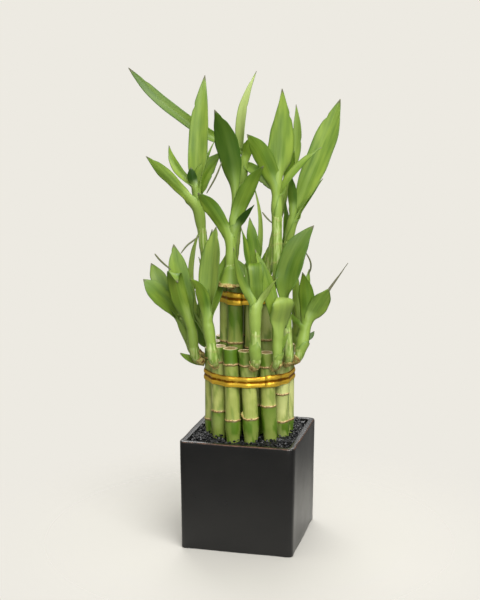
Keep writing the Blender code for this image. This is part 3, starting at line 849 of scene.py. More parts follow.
# %% [markdown]
# ## Gilt ribbon
#
# Each tier is bound by a flat plastic ribbon with a metallised gold face and a stiff wire bead
# along each edge, so it keeps its bends: it lies on the outer side of every cane and runs straight
# between them. The path is the same hull as the CAD's. A ring of edges along its foot is extruded
# upwards row by row, out over each bead and back in to the web, and the band then gets its
# thickness.

# %% Ribbon shape
LOWER_TIE = (129.8, 138.4)      # heights of a tie's two edges
UPPER_TIE = (191.2, 200.2)
TIE_CLEAR = 0.4                 # how far the path runs off the canes
TIE_CORNER_STEPS = 6
TIE_SPAN_STEPS = 4
BEAD = 0.55                     # how far the two ridges stand out from the web
SET_IN = 0.2                    # how far inside the path the band lies
CRUMPLE = (0.15, 3.1, 2.3)      # height of the web's creases, length, and change over its width
PINCH_SPAN = 7.0                # length of a stretch where the band is pinched or lifted
PINCH_LIFT = 0.25
WEB_OUT, SPAN_IN = 0.2, 0.3     # between two canes the web stands out, and the whole band in
SPAN_FLAT = 0.35                # share of its ridges' height that it loses there
SPAN_NARROW, PINCH_NARROW = 0.07, 0.05  # and of its width, there and where it is pinched
FLARE_FROM = 0.45               # share of an end's length where it starts to stand off
# rows of the band: height as a share of its width, and how far out as a share of the ridge
TIE_ROWS = [(0.0, 0.0), (0.07, 0.45), (0.14, 0.85), (0.21, 1.0), (0.29, 0.9), (0.36, 0.45),
            (0.42, 0.08), (0.49, 0.0), (0.56, 0.08), (0.62, 0.45), (0.68, 0.9), (0.75, 1.0),
            (0.82, 0.85), (0.90, 0.45), (1.0, 0.0)]


def tie_path(tags, height):
    """Points round the outside of the canes, each with its outward direction and its slack.

    Slack is 0 on a cane and 1 midway between two.
    """
    centres = [cane_centre(tag, height) for tag in tags]
    corners = []
    for k, here in enumerate(centres):
        before, after = centres[k - 1], centres[(k + 1) % len(centres)]
        start = (here - before).cross(Vector((0, 0, 1)))
        end = (after - here).cross(Vector((0, 0, 1)))
        first = math.atan2(start.y, start.x)
        swing = (math.atan2(end.y, end.x) - first) % (2 * math.pi)
        corners.append([(here, first + swing * s / (TIE_CORNER_STEPS - 1))
                        for s in range(TIE_CORNER_STEPS)])
    path = []
    for k, corner in enumerate(corners):
        for here, angle in corner:
            out = direction(math.degrees(angle), 0)
            path.append((here + out * (CANE_RADIUS + TIE_CLEAR), out, 0.0))
        last, following = path[-1], corners[(k + 1) % len(corners)][0]
        next_point = following[0] + last[1] * (CANE_RADIUS + TIE_CLEAR)
        for s in range(1, TIE_SPAN_STEPS):
            share = s / TIE_SPAN_STEPS
            path.append((last[0].lerp(next_point, share), last[1], math.sin(math.pi * share)))
    return path


def make_ribbon(path, edges, closed, seed, lift=0.0, flare=0.0):
    """A band along a path, joined to its own start where it is closed.

    Lift holds it off the path, and flare opens its far end outwards.
    """
    bm = new_bmesh()
    marks = bm.verts.layers.float_color["marks"]
    ring = [bm.verts.new(point) for point, _, _ in path]
    row_edges = [bm.edges.new(pair) for pair in zip(ring, ring[1:] + ring[:closed])]
    rows = [ring]
    for _ in TIE_ROWS[1:]:
        raised = bmesh.ops.extrude_edge_only(bm, edges=row_edges)["geom"]
        fresh = [g for g in raised if isinstance(g, bmesh.types.BMVert)]
        row_edges = [g for g in raised if isinstance(g, bmesh.types.BMEdge)
                     and g.verts[0] in fresh and g.verts[1] in fresh]
        rows.append(sorted(fresh, key=lambda v: min(
            range(len(path)), key=lambda i: (path[i][0].xy - v.co.xy).length_squared)))
    for (share, out_share), row in zip(TIE_ROWS, rows):
        for k, vert in enumerate(row):
            point, out, slack = path[k]
            crumple = CRUMPLE[0] * stray(*(point.xy / CRUMPLE[1]), share * CRUMPLE[2] + seed)
            pinch = stray(*(point.xy / PINCH_SPAN), seed + 9)
            web = 1 - out_share
            far = smooth_step((k / (len(path) - 1) - FLARE_FROM) / (1 - FLARE_FROM))
            vert.co = point + out * (
                BEAD * out_share * (1 - SPAN_FLAT * slack) + web * (crumple + WEB_OUT * slack)
                - SPAN_IN * slack + lift + flare * far - SET_IN)
            width = 1 - SPAN_NARROW * slack - PINCH_NARROW * pinch
            vert.co.z = mix(*edges, (share - 0.5) * width + 0.5) + PINCH_LIFT * pinch
            # painted shade: the web and the top edge are marked to turn deep brown in the film's
            # colour
            top_edge_shadow = smooth_step((share - 0.86) / 0.08)
            vert[marks] = (max(web if 0.2 < share < 0.8 else 0.0, top_edge_shadow), 0, 0, 1)
    bmesh.ops.recalc_face_normals(bm, faces=bm.faces)
    if sum(f.normal.dot(f.calc_center_median()) for f in bm.faces) < 0:
        bmesh.ops.reverse_faces(bm, faces=bm.faces)
    return bm


print("rows of points across a ribbon:", len(TIE_ROWS))

# %% [markdown]
# ## Metallised film
#
# A plastic film with gold vapour deposited on it and a clear lacquer over that, smooth and bright.
# It shows gold where it mirrors the lamps. The deep brown of the dark between the canes, mostly in
# the web between its two beads and along its top edge, is a painted reflection and painted shade in
# its colour. A band pulled tight creases every 4 to 5 mm, with finer wrinkles between. The metal
# keeps the shader's own index.

# %% Metallised film
def film_nodes(node):
    place = node("TexCoord").outputs["Object"]
    marks = node("SeparateColor", {"Color": node("Attribute", attribute_name="marks")}).outputs
    crease = node("TexNoise", {"Vector": place, "Scale": every(4.5), "Detail": 3.0,
                               "Roughness": 0.6})
    # painted reflection and shade: the marked web and top edge turn deep brown, broken up by the
    # creases
    edge = node("Math", {0: marks["Red"], 1: crease}, operation="MULTIPLY")
    dark = node("MapRange", {"Value": edge, "From Min": 0.15, "From Max": 0.42, "To Max": 0.95})
    colour = node("Mix", {"Factor": dark, "A": "FFD44C", "B": "8A5408"}, data_type="RGBA")
    rough = node("MapRange", {"Value": crease, "To Min": 0.35, "To Max": 0.62})
    fine = node("TexNoise", {"Vector": place, "Scale": every(1.6), "Detail": 2.0})
    bump = node("Bump", {"Height": fine, "Strength": 0.5, "Distance": 0.25 * MM})
    return node("BsdfPrincipled", {"Base Color": colour, "Metallic": 1.0, "Roughness": rough,
                                   "Normal": bump})


FILM = 0.35                     # thickness of the band as drawn
LAP_REACH = 9.0                 # half the length of the overlapping end
LAP_POINTS = 5                  # and the most points of the path that it takes on each side
LAP_EDGES = (-0.1, 0.9)         # how far its edges lie over the band's own
LAP_LIFT, LAP_FLARE = 0.6, 1.0


def tie_up(name, ring, edges, lap_heading, seed):
    """A band round a ring of canes, and its end lapped over itself at a heading."""
    path = tie_path([tag for tag in CANE_TAGS if ring in tag], sum(edges) / 2)
    band = make_ribbon(path, edges, True, seed)
    add_piece("ribbon_" + name, band, gilt, [name + "_tie"], wall=FILM)
    spot = direction(lap_heading, 0)
    middle = max(range(len(path)), key=lambda k: path[k][0].normalized().dot(spot))
    near = [path[(middle + k) % len(path)] for k in range(-LAP_POINTS, LAP_POINTS + 1)]
    lap = [p for p in near if (p[0] - path[middle][0]).length < LAP_REACH]
    end = make_ribbon(lap, [edge + over for edge, over in zip(edges, LAP_EDGES)], False,
                      seed + 4, LAP_LIFT, LAP_FLARE)
    add_piece("ribbon_" + name + "_end", end, gilt, wall=FILM)


gilt = make_material("gold metallised film, lacquered", film_nodes)
tie_up("lower", "outer", LOWER_TIE, -47.0, 3.0)
tie_up("upper", "inner", UPPER_TIE, -100.0, 5.0)
print("two ribbons, each with a lapped end")

# %% [markdown]
# ## How the shoots grow
#
# A shoot leaves its cane at the top joint, turns up and leans, and its leaves part from it one
# above the other. This is the CAD's own plan of them, so each stem and leaf lies where its solid
# is. A shoot has the height and heading at which it leaves its cane, the heading and rise of its
# lean, its length, its radius at foot and top, and the length of its bundle of sheaths. A leaf
# parts at a height over its shoot's top, sets out at a heading and a rise, droops and sweeps by
# its tip, and is rolled about its length, all in degrees. A few words are added to that: its tone,
# partly the leaf's own green and partly painted light and shade, from -1 for a leaf painted dark as
# in shade to 1 for a pale one painted as if lit from behind; its curl, the bend of its
# tip away from its inner face in degrees; its bank, the bend of its tip sideways; its peak, the
# share of its length where it is widest; its base, how wide it starts against that; and its tip,
# where 1 is a long point and 3 a blunt one. The last leaves of some shoots are small ones that the
# CAD leaves out.

# %% Growth plan
SHOOT_RISE = 25.0               # a shoot sets out from its cane at this rise
SHOOT_BEND = 13.0               # and has turned to its own lean after this length
SHOOT_SEAT = 0.9                # its middle starts this far outside the cane's skin, and more
PATH_STEPS = 27
Shoot = namedtuple("Shoot", "name cane height out lean rise length foot_r top_r sheath leaves")
Leaf = namedtuple(
    "Leaf", "at heading rise length width droop sweep roll tone curl bank peak base tip",
    defaults=[0.0, 12.0, 0.0, 0.46, 0.55, 2.0])
SHOOTS = [
    Shoot("upper_1", "inner_1", 205, -160, -145, 82, 61, 3.6, 3.4, 27, [
        Leaf(15, 64, 87, 88, 15, 6, -10, -40, 0.15, 6, 0, 0.38, 1.0, 2.6),
        Leaf(2.5, -148, 45.5, 57, 8.8, 1, -5, -75, 0.1, 8, 0, 0.62, 0.5, 1.9),
        Leaf(20, 172, 22, 41, 7, -52, -35, 45, -0.1),
        Leaf(8, 10, 88, 43, 14.5, 50, 0, -75, -0.2, 12, 0, 0.44, 0.7, 1.7),
        Leaf(17, 64, 63, 43, 3.8, 6, -5, -35, 0.0, 12, 0, 0.3, 0.9, 1.2),
        Leaf(18.5, -137, 58, 15.5, 7, -35, 0, -60, -1.0, 0, 0, 0.5, 0.8, 2.4),
    ]),
    Shoot("upper_2", "inner_2", 206, -95, 74, 81, 42, 4.0, 3.5, 30, [
        Leaf(27, -126, 86, 71, 17.5, 20, -20, -55, -0.8, 8, 0, 0.60, 0.22, 1.6),
        Leaf(-6, -160, 67, 47, 12, 20, -5, -70, -0.15, 6, 0, 0.6, 0.4, 2.8),
        Leaf(6, -14, 76, 55, 12, 25, 10, 65, -0.3, 14, 0, 0.55, 0.6),
        Leaf(4, -21, 50, 29, 6, 5, 0, 60, -1.0, 8, 0, 0.4, 0.7, 1.5),
    ]),
    Shoot("upper_3", "inner_4", 205, -40, 117, 86, 65, 4, 3.8, 13, [
        Leaf(10, 9, 80, 78, 20.5, -15, 0, 75, 0.15, 6, 0, 0.42, 0.6, 1.5),
        Leaf(8, -140, 78, 53, 14.5, 29, -15, -65, -0.2, 8, 0, 0.6, 0.75, 2.1),
        Leaf(7, 17, 63, 51, 5.8, 30, 0, -70, -0.1),
    ]),
    Shoot("upper_4", "inner_5", 205, 35, -36, 76, 52, 3.6, 3.4, 9, [
        Leaf(2, 23, 65, 99, 18.5, -7, -5, -70, 0.1, 4, 0, 0.60, 0.5, 2.2),
        Leaf(0, 20, 56, 41, 4.5, 3, 0, -60, -0.2, 4, 0, 0.4, 0.9, 1.5),
        Leaf(6, -95, 80, 31, 7, 0, 0, -15, -0.6),
        Leaf(-22, -168, 88, 38, 6, 0, 0, 70, -0.6, 6, 0, 0.4, 0.9, 1.6),
    ]),
    Shoot("upper_5", "inner_7", 205, 110, 11, 84, 87, 3.6, 3.2, 13, [
        Leaf(16, -168, 21.5, 113, 9.5, -29, 0, 70, -0.35, 5, 0, 0.6, 0.9, 2.8),
        Leaf(10, -17, 106, 72, 9, 50, 70, -65, 0.9, 6, 0, 0.35, 0.8, 1.5),
        Leaf(8, -43, 61, 22, 8, -10, -5, 30, -0.2, 16, 0, 0.6, 0.8, 2.6),
        Leaf(7, -8, -25, 36, 9, 25, -5, -60, -0.4, 6, 0, 0.5, 0.9, 2.4),
    ]),
    Shoot("upper_6", "inner_6", 205, 45, 3, 78, 71, 3.2, 3, 11, [
        Leaf(8, 24, 67, 64, 8.5, -33, -15, -75, 0.25),
        Leaf(4, -44, 68, 35, 7, 0, 0, 30, 0.0),
        Leaf(3, 165, 60, 27, 7, 25, 5, 55, -0.3),
    ]),
    Shoot("upper_7", "inner_3", 205, -60, 120, 63, 16, 3.6, 3.4, 8, [
        Leaf(2, -168, 80, 40, 9.5, -5, 0, 75, -0.3, 10, 0, 0.5, 0.7),
        Leaf(6, 13, 75, 64, 4.2, -36, 0, -70, 0.3, 4, 0, 0.3, 0.9, 1.4),
    ]),
    Shoot("lower_01", "outer_13", 143, -175, -135, 66, 32, 5.0, 3.9, 12, [
        Leaf(6, -157, 52.5, 44, 14.5, 7, 0, 75, 0.0, 10, 0, 0.68, 0.35, 2.0),
        Leaf(9, 169, 55, 48, 13, -6, -5, 50, -0.3, 8, 0, 0.62, 0.6, 2.5),
    ]),
    Shoot("lower_02", "outer_01", 144, -145, 163, 85, 28, 3.6, 3.6, 8, [
        Leaf(5, -179, 72.5, 64, 16, -10, -5, 60, 0.1, 8, 0, 0.6, 0.4, 2.2),
        Leaf(2, -144, 60.5, 65, 13, -32, 0, -60, -0.1, 150, -26, 0.55, 0.6, 2.4),
    ]),
    Shoot("lower_03", "outer_02", 145, -90, 158, 80, 35, 3.8, 4, 9, [
        Leaf(3, -150, 80, 38, 10.5, 5, -10, -55, -0.1, 25, 40, 0.5, 0.8, 2.2),
        Leaf(6, 64, 80.5, 70, 19.5, -6, -10, -10, 0.25, 8, 0, 0.55, 0.4),
        Leaf(5, 45, 71, 57, 11, 0, -10, -50, -0.3, 6, 0, 0.45, 0.8, 1.7),
    ]),
    Shoot("lower_04", "outer_04", 146, -50, 143, 88, 47, 3.9, 4.1, 9, [
        Leaf(6, -157, 55, 47, 6.5, -30, 5, -70, 0.1, 8, 0, 0.3, 0.95, 1.6),
        Leaf(4, 133, 86, 44, 14, 0, 0, 25, -0.3, 150, 0, 0.6, 0.7),
        Leaf(2, -2, 58, 31, 5, 5, 0, 70, 0.35, 6, 0, 0.3, 0.95, 1.5),
        Leaf(5, 150, 78, 60, 9.5, 0, 0, -20, -0.3, 6, 0, 0.6, 0.8, 1.9),
        Leaf(-30, -165, 84, 44, 6, 0, 0, -65, -0.5, 4, 0, 0.4, 0.9, 1.5),
    ]),
    Shoot("lower_05", "outer_05", 145, -45, 110, 83, 33, 3.5, 3.7, 4, [
        Leaf(-6, -32, 72, 43, 21, 0, 0, 10, 0.3, -150, 0, 0.62, 0.34, 1.8),
        Leaf(1, -170, 80, 63, 11, 10, 0, 70, -0.1),
        Leaf(-18, 14, 64, 19, 6, 0, 0, -50, 0.2, 6, 0, 0.45, 0.8, 1.6),
    ]),
    Shoot("lower_06", "outer_06", 146, -55, 139, 83, 40, 3.4, 3.4, 10, [
        Leaf(7, 22, 97, 69, 19, 50, -5, -70, -0.5, 8, 0, 0.5, 0.45, 2.1),
    ]),
    Shoot("lower_07", "outer_07", 144, -40, 59, 71, 20, 2.9, 4.4, 19, [
        Leaf(14, -5, 56.5, 34.5, 14.5, -5, -5, 65, 0.15, 8, 0, 0.55, 0.7, 2.2),
        Leaf(11, -141, 96, 45, 12, 20, 0, -55, -0.3, 8, 0, 0.5, 0.7),
        Leaf(16, 17, 58, 56, 3, 5, 0, -70, 0.2, -14, 0, 0.3, 0.9, 1.2),
        Leaf(11, -148, 27, 21, 4, -35, 5, -70, -0.3),
        Leaf(2, 35, -6, 12, 4.5, -75, 0, -60, -0.8),
    ]),
    Shoot("lower_08", "outer_08", 147, 55, -67, 81, 26, 3.4, 3.2, 7, [
        Leaf(4, -116, 85, 46, 7, 5, 0, -35, 0.2, 6, 0, 0.4, 0.8, 1.6),
        Leaf(4, 53, 67, 40, 7, -10, 10, -40, 0.0),
        Leaf(-14, -140, 86, 44, 7, 0, 0, -60, 0.3, 6, 0, 0.4, 0.9, 1.6),
    ]),
    Shoot("lower_09", "outer_10", 147, 95, 32, 87, 39, 3.4, 3.2, 7, [
        Leaf(4, 61, 73, 40, 12, -10, 5, -35, 0.0),
        Leaf(4, 164, 48, 38, 12, -5, 0, 50, 0.0),
        Leaf(3, 60, 44, 28, 10, 30, -10, -50, -0.1),
    ]),
    Shoot("lower_10", "outer_12", 147, 140, -126, 59, 27, 3.4, 3.2, 5, [
        Leaf(2, -154, 65, 77, 4.6, -50, -25, 75, 0.5, 4, 0, 0.5, 0.8, 1.8),
        Leaf(2, -150, 112, 53, 6, 50, -50, 65, 0.4, 6, 0, 0.4, 0.8),
        Leaf(1, 157, 42, 33, 10, -5, 0, 45, 0.0),
        Leaf(-25, -172, 24, 33, 13, -68, 0, 70, -0.7, 8, 0, 0.5, 0.9, 1.8),
        Leaf(2, 55, 80.5, 74, 10, 0, 0, -60, -0.5, 6, 0, 0.6, 0.8, 1.8),
    ]),
]


def shoot_foot(shoot):
    reach = CANE_RADIUS + SHOOT_SEAT + shoot.foot_r * math.sin(math.radians(SHOOT_RISE))
    return cane_centre(shoot.cane, shoot.height) + direction(shoot.out, 0) * reach


def shoot_path(shoot, steps=PATH_STEPS):
    """Points up the middle of a stem: out from the cane, a short bend, then its lean."""
    stride = shoot.length / steps
    away, up = direction(shoot.out, SHOOT_RISE), direction(shoot.lean, shoot.rise)
    points = [shoot_foot(shoot)]
    for k in range(steps):
        turn = smooth_step((k + 0.5) * stride / SHOOT_BEND)
        points.append(points[-1] + (away * (1 - turn) + up * turn).normalized() * stride)
    return points


print("shoots:", len(SHOOTS), "leaves:", sum(len(s.leaves) for s in SHOOTS))

# %% [markdown]
# ## Stem shape
#
# A shoot's stem is made of the leaf bases wrapped round it, so it is thick for its height, draws in
# where it breaks out of the cane, and has a faint slanting ridge wherever an old leaf base ends. A
# grid laid round the stem's path makes it: the radius swells and narrows along the way, the first
# and last rows close to a point, and merging doubles seals the seam.

# %% Stem shape
STEM_SIDES = 20
STEM_ROW = 1.1
STEM_STRAY = 0.05               # how far a stem strays from round, as a share of its radius
RIDGE = 0.32                    # height of the ridge at an old leaf base
RIDGE_UNDER, RIDGE_OVER = 0.5, 1.4      # how soon it fades below and above
RIDGE_STEP = (8.0, 15.0)        # distance between two of them
RIDGE_SLANT = (1.0, 4.5)        # how far one slants across the stem
HEEL = 1.7                      # how far the stem's heel reaches back towards its cane
HEEL_ROWS = 3
HEEL_SCARS = (2.6, 5.4)         # close old rings just above the heel
HEEL_SLIM = 0.62                # where it breaks out, a stem is this share of its radius
HEEL_ROUND = 2.6                # length over which the heel's end is rounded
HEEL_TAN, HEEL_DARK = 1.6, 5.0  # how soon the heel's tan and its deeper green fade
CORE = 0.7                      # the core inside the leaves, as a share of the sheath
CORE_ROWS = 6
CORE_DRAW = 0.85                # and how much it has narrowed at its tip


def tangent_at(line, row):
    return (line[min(row + 1, len(line) - 1)] - line[max(row - 1, 0)]).normalized()


def square_to(way, axis):
    """What is left of a direction square to an axis, as a unit vector."""
    return (way - axis * way.dot(axis)).normalized()


def swung(first, second, angle):
    """The first direction swung by an angle towards the second."""
    return first * math.cos(angle) + second * math.sin(angle)


def lengths_along(line):
    """How far along a line each of its points lies."""
    reach = [0.0]
    for a, b in zip(line, line[1:]):
        reach.append(reach[-1] + (b - a).length)
    return reach


def frames_along(points):
    """A direction and two cross directions at each point, carried along without twisting."""
    tangents = [tangent_at(points, k) for k in range(len(points))]
    first = tangents[0].orthogonal().normalized()
    frames = []
    for tangent in tangents:
        first = square_to(first, tangent)
        frames.append((tangent, first, tangent.cross(first)))
    return frames


def stem_line(shoot):
    """The stem's middle from its heel to the tip of its core."""
    path = shoot_path(shoot, max(12, round(shoot.length / STEM_ROW)))
    up = (path[-1] - path[-2]).normalized()
    away = (path[1] - path[0]).normalized()
    core = shoot.sheath * CORE
    start = [path[0] - away * HEEL * (1 - k / HEEL_ROWS) for k in range(HEEL_ROWS)]
    end = [path[-1] + up * core * (k + 1) / CORE_ROWS for k in range(CORE_ROWS)]
    return start + path + end


def stem_radius(shoot, along):
    """The radius at a length from the heel: slim where it breaks out, then an even taper."""
    share = min(1.0, along / (HEEL + shoot.length))
    radius = mix(shoot.foot_r, shoot.top_r, share)
    radius *= mix(HEEL_SLIM, 1.0, smooth_step(along / SHOOT_BEND))
    heel = min(1.0, along / HEEL_ROUND)
    return radius * math.sqrt(max(0.0, 1 - (1 - heel) ** 2))


def make_stem(shoot, rng):
    bm = new_bmesh()
    line = stem_line(shoot)
    frames = frames_along(line)
    rows = len(line) - 1
    reach = lengths_along(line)
    # where each ring lies, which way and how far it slants, and how tan it is
    scars = [(spot, rng.uniform(0, 2 * math.pi), 0.5, 1.0) for spot in HEEL_SCARS]
    spot = rng.uniform(*RIDGE_STEP)
    while spot < shoot.length - 3:
        scars.append((spot, rng.uniform(0, 2 * math.pi), rng.uniform(*RIDGE_SLANT), 0.35))
        spot += rng.uniform(*RIDGE_STEP)
    seed = Vector((rng.uniform(0, 50), rng.uniform(0, 50), 0))
    whole = HEEL + shoot.length

    def place(u, w):
        row = round(w * rows)
        _, first, second = frames[row]
        angle = math.pi * u
        along = reach[row]
        ridge = tan = 0.0
        for where, turn, slant, strength in scars:
            off = along - where - slant * math.cos(angle - turn)
            under = bell(off, RIDGE_UNDER)
            ridge = max(ridge, under if off < 0 else math.exp(-off / RIDGE_OVER))
            tan = max(tan, strength * under)
        lobes = Vector((math.cos(angle), math.sin(angle), along / 12)) + seed
        radius = stem_radius(shoot, along) * (1 + STEM_STRAY * noise.noise(lobes))
        radius += RIDGE * ridge * min(1.0, along / 2)
        past = along - whole
        if past > 0:
            radius *= 1 - CORE_DRAW * (past / (reach[-1] - whole)) ** 0.8
        if row in (0, rows):
            radius = 0.0
        return (line[row] + swung(first, second, angle) * radius,
                (tan, math.exp(-along / HEEL_DARK), math.exp(-along / HEEL_TAN), 1),
                (angle * shoot.top_r, along, seed.x), 0.0)

    lay_grid(bm, STEM_SIDES, rows, place)
    seal(bm, 2e-3)
    return bm


print("rows of points up the first stem:", len(stem_line(SHOOTS[0])))

# %% [markdown]
# ## Leaf shape
#
# A leaf wraps its shoot as a sheath, opens, narrows for a moment and widens into a blade with a
# shallow channel, and ends in a fine point. One grid makes all of it, so nothing has to be joined.
# Its rows run up the shoot's axis and then out along the blade's own arc, and the cross-section
# goes smoothly from nearly a full circle to a shallow V. The blade turns about its length as it
# leaves the shoot, its edges wave a little, and its width strays, as a grown thing's does.

# %% Leaf shape
LEAF_ROW = 1.5
LEAF_ACROSS = 14
LEAF_LAYER = 0.16               # how far each lower leaf's sheath lies outside the last
SHEATH_WRAP = 20.0              # how far down its shoot a leaf's sheath reaches at the most
SHEATH_TAPER = 0.55             # the bundle of leaves narrows to this share at its tip
SHEATH_SET = (-0.45, 0.22)      # a sheath starts inside the stem's skin and comes out of it
SHEATH_ROUND = (3.05, 2.1)      # half its width against its radius, at its foot and at its top
# shares of the blade where it has opened out, is as wide as it should be and has left its shoot
OPENED, WIDENED, LEFT = 0.42, 0.24, 0.36
BLADE_CURVE = 0.012             # what is left of the sheath's curve in an open blade
FOLD = (0.14, 0.36)             # slope of the fold along its middle
BEND_FROM = 0.58                # share of the blade's length where its tip starts to bend
SOFTEN_PASSES = 9
TIP_DRY, TIP_BLEND = 0.95, 0.03     # the tip is dry past this share, and the share of the change
THREAD_WIDTH, THREAD_DRY = 3.0, 0.35    # a leaf no wider than this is a thread, dry from here
RAGGED = 0.09                   # how far an edge strays, as a share of the half width
NOTCH = 0.16                    # depth of a nick in an edge, likewise
NOTCH_SPAN = 0.022              # its width as a share of the length


def blade_half(share, leaf, peak):
    """Half the blade's width: it swells to its peak and draws in to its tip."""
    swell = leaf.base + (1 - leaf.base) * math.sin(math.pi / 2 * min(1, share / peak))
    past = max(0.0, share - peak) / (1 - peak)
    drawn = 1 - 0.10 * bell(past - 0.78, 0.16)
    return max(0.12, 0.5 * leaf.width * swell * (1 - past ** leaf.tip) * drawn)


def blade_face(leaf, share):
    """The blade's direction, its side and its inner face at a share of its length."""
    heading = leaf.heading + leaf.sweep * share
    along = direction(heading, leaf.rise - leaf.droop * share)
    level = direction(heading - 90, 0)
    face = level.cross(along)
    roll = math.radians(leaf.roll) * mix(0.45, 1.0, smooth_step(share / 0.3))
    side = swung(level, face, roll)
    return along, side, side.cross(along)


def leaf_line(shoot, leaf):
    """The leaf's middle line: up the shoot's axis in the sheath, then along the blade."""
    below, top = shoot_path(shoot)[-2:]
    up = (top - below).normalized()
    wrap = max(5.0, min(SHEATH_WRAP, leaf.at + shoot.length - SHOOT_BEND + 3))
    wrap_rows = max(4, round(wrap / LEAF_ROW))
    rows = max(8, round(leaf.length / LEAF_ROW))
    line = [top + up * (leaf.at - wrap * (1 - k / wrap_rows)) for k in range(wrap_rows + 1)]
    sides = [blade_face(leaf, 0)[1]] * (wrap_rows + 1)
    for k in range(rows):
        share = (k + 0.5) / rows
        along, side, face = blade_face(leaf, share)
        late = smooth_step((share - BEND_FROM) / (1 - BEND_FROM))
        curl, bank = math.radians(leaf.curl) * late, math.radians(leaf.bank) * late
        step = swung(swung(along, -face, curl), side, bank)
        line.append(line[-1] + step * leaf.length / rows)
        sides.append(swung(blade_face(leaf, (k + 1) / rows)[1], -along, bank))
    for _ in range(SOFTEN_PASSES):
        line[1:-1] = [(a + b * 2 + c) / 4 for a, b, c in zip(line, line[1:], line[2:])]
    return line, sides, wrap_rows, rows, wrap


def bent(across, curve):
    """Where a point of a flat strip goes when it is bent: to the side, and inwards."""
    return math.sin(curve * across) / curve, (1 - math.cos(curve * across)) / curve


def edge_width(share, seed, nicks):
    """How an edge strays from the even outline: slow waves, and a nick or two."""
    width = 1 + RAGGED * stray(share * 6.5, seed, 0.3)
    for spot in nicks:
        width -= NOTCH * bell(share - spot, NOTCH_SPAN)
    return width


def add_leaf(bm, shoot, leaf, layer, rng):
    """One leaf as a grid. Its spine says for each row how the sheet lies and bends across."""
    line, sides, wrap_rows, rows, wrap = leaf_line(shoot, leaf)
    whole = len(line) - 1
    seed = rng.uniform(0, 60)
    ring = shoot.top_r * (1 - (1 - SHEATH_TAPER) * clamp(leaf.at / shoot.sheath))
    fold = rng.uniform(*FOLD)
    wave = rng.uniform(0.3, 0.7) * min(1.0, leaf.width / 12)
    turns = rng.uniform(1.2, 2.4)
    peak = leaf.peak + rng.uniform(-0.04, 0.04)
    nicks = [[rng.uniform(0.55, 0.93)] if rng.random() < 0.5 else [] for _ in range(2)]
    spine = []
    for row, point in enumerate(line):
        tangent = tangent_at(line, row)
        side = square_to(sides[row], tangent)
        inner = side.cross(tangent)
        share = (row - wrap_rows) / rows
        if share <= 0:
            to_foot = row / wrap_rows
            from_top = leaf.at - wrap * (1 - to_foot)
            stem = mix(shoot.foot_r, shoot.top_r, min(1.0, 1 + from_top / shoot.length))
            if from_top > 0:
                stem *= 1 - (1 - SHEATH_TAPER) * min(1.0, from_top / shoot.sheath)
            radius = stem + mix(*SHEATH_SET, smooth_step(to_foot * 1.8)) + layer * to_foot
            half = radius * mix(*SHEATH_ROUND, smooth_step(to_foot))
            curve, offset, crease, share = 1 / radius, radius, 0.0, 0.0
        else:
            radius = ring + SHEATH_SET[1] + layer
            opened = smooth_step(share / OPENED)
            half = mix(radius * SHEATH_ROUND[1], blade_half(share, leaf, peak),
                       smooth_step(share / WIDENED))
            curve = mix(1 / radius, BLADE_CURVE, opened ** 0.8)
            offset = radius * (1 - smooth_step(share / LEFT))
            crease = fold * opened * (1 - share ** 3)
        strays = [edge_width(share, seed + 20 * k, nicks[k]) for k in range(2)]
        spine.append((point - inner * offset, side, inner, half, curve, crease, share, strays))

    def place(u, w):
        row = round(w * whole)
        middle, side, inner, half, curve, crease, share, strays = spine[row]
        s = u * half * strays[u > 0]
        x, y = bent(s, curve)
        ripple = math.sin(2 * math.pi * turns * share + seed + (u > 0) * 1.9)
        y += crease * (math.hypot(s, 0.5) - 0.5) + wave * u * u * ripple * smooth_step(share * 3)
        dry_from = TIP_DRY if leaf.width > THREAD_WIDTH else THREAD_DRY
        dry = smooth_step((share - dry_from + 0.02 * stray(u * 2, seed)) / TIP_BLEND)
        sheathed = (row / wrap_rows) if row < wrap_rows else 1.0
        pale = mix(1.0, 0.8, sheathed) * (1 - smooth_step((share - 0.02) / 0.45))
        return (middle + side * x + inner * y, (dry, pale, abs(u), 1),
                (s, row * LEAF_ROW, seed), leaf.tone)

    lay_grid(bm, LEAF_ACROSS, whole, place)


def make_foliage(shoot, rng):
    bm = new_bmesh()
    order = sorted(range(len(shoot.leaves)), key=lambda k: -shoot.leaves[k].at)
    for rank, k in enumerate(order):
        add_leaf(bm, shoot, shoot.leaves[k], LEAF_LAYER * rank, rng)
    return bm


print("rows of points up the first leaf:", len(leaf_line(SHOOTS[0], SHOOTS[0].leaves[0])[0]))

# %% [markdown]
# ## Leaf skin
#
# A fresh Dracaena leaf is thin and satin, with fine parallel veins about 1 mm apart and no
# branching ones. Light goes through it: a leaf with the lamp behind it glows yellow-green. So its
# shader is a satin surface mixed with a translucent one. A leaf with a negative tone is also
# painted a darker green as shade, and one with a positive tone a paler green as light shining
# through it, over its own green. The sheath is paler and blends into the stem, the tip dries to
# grey-brown, and the edge is a little darker. Leaf skin has an index of about 1.45.

# %% Leaf skin
VEIN, VEIN_RUN = 1.1, 60.0      # width and length of a vein along the leaf's own grain
PATCH, PATCH_RUN = 5.0, 34.0    # and of a paler or darker patch


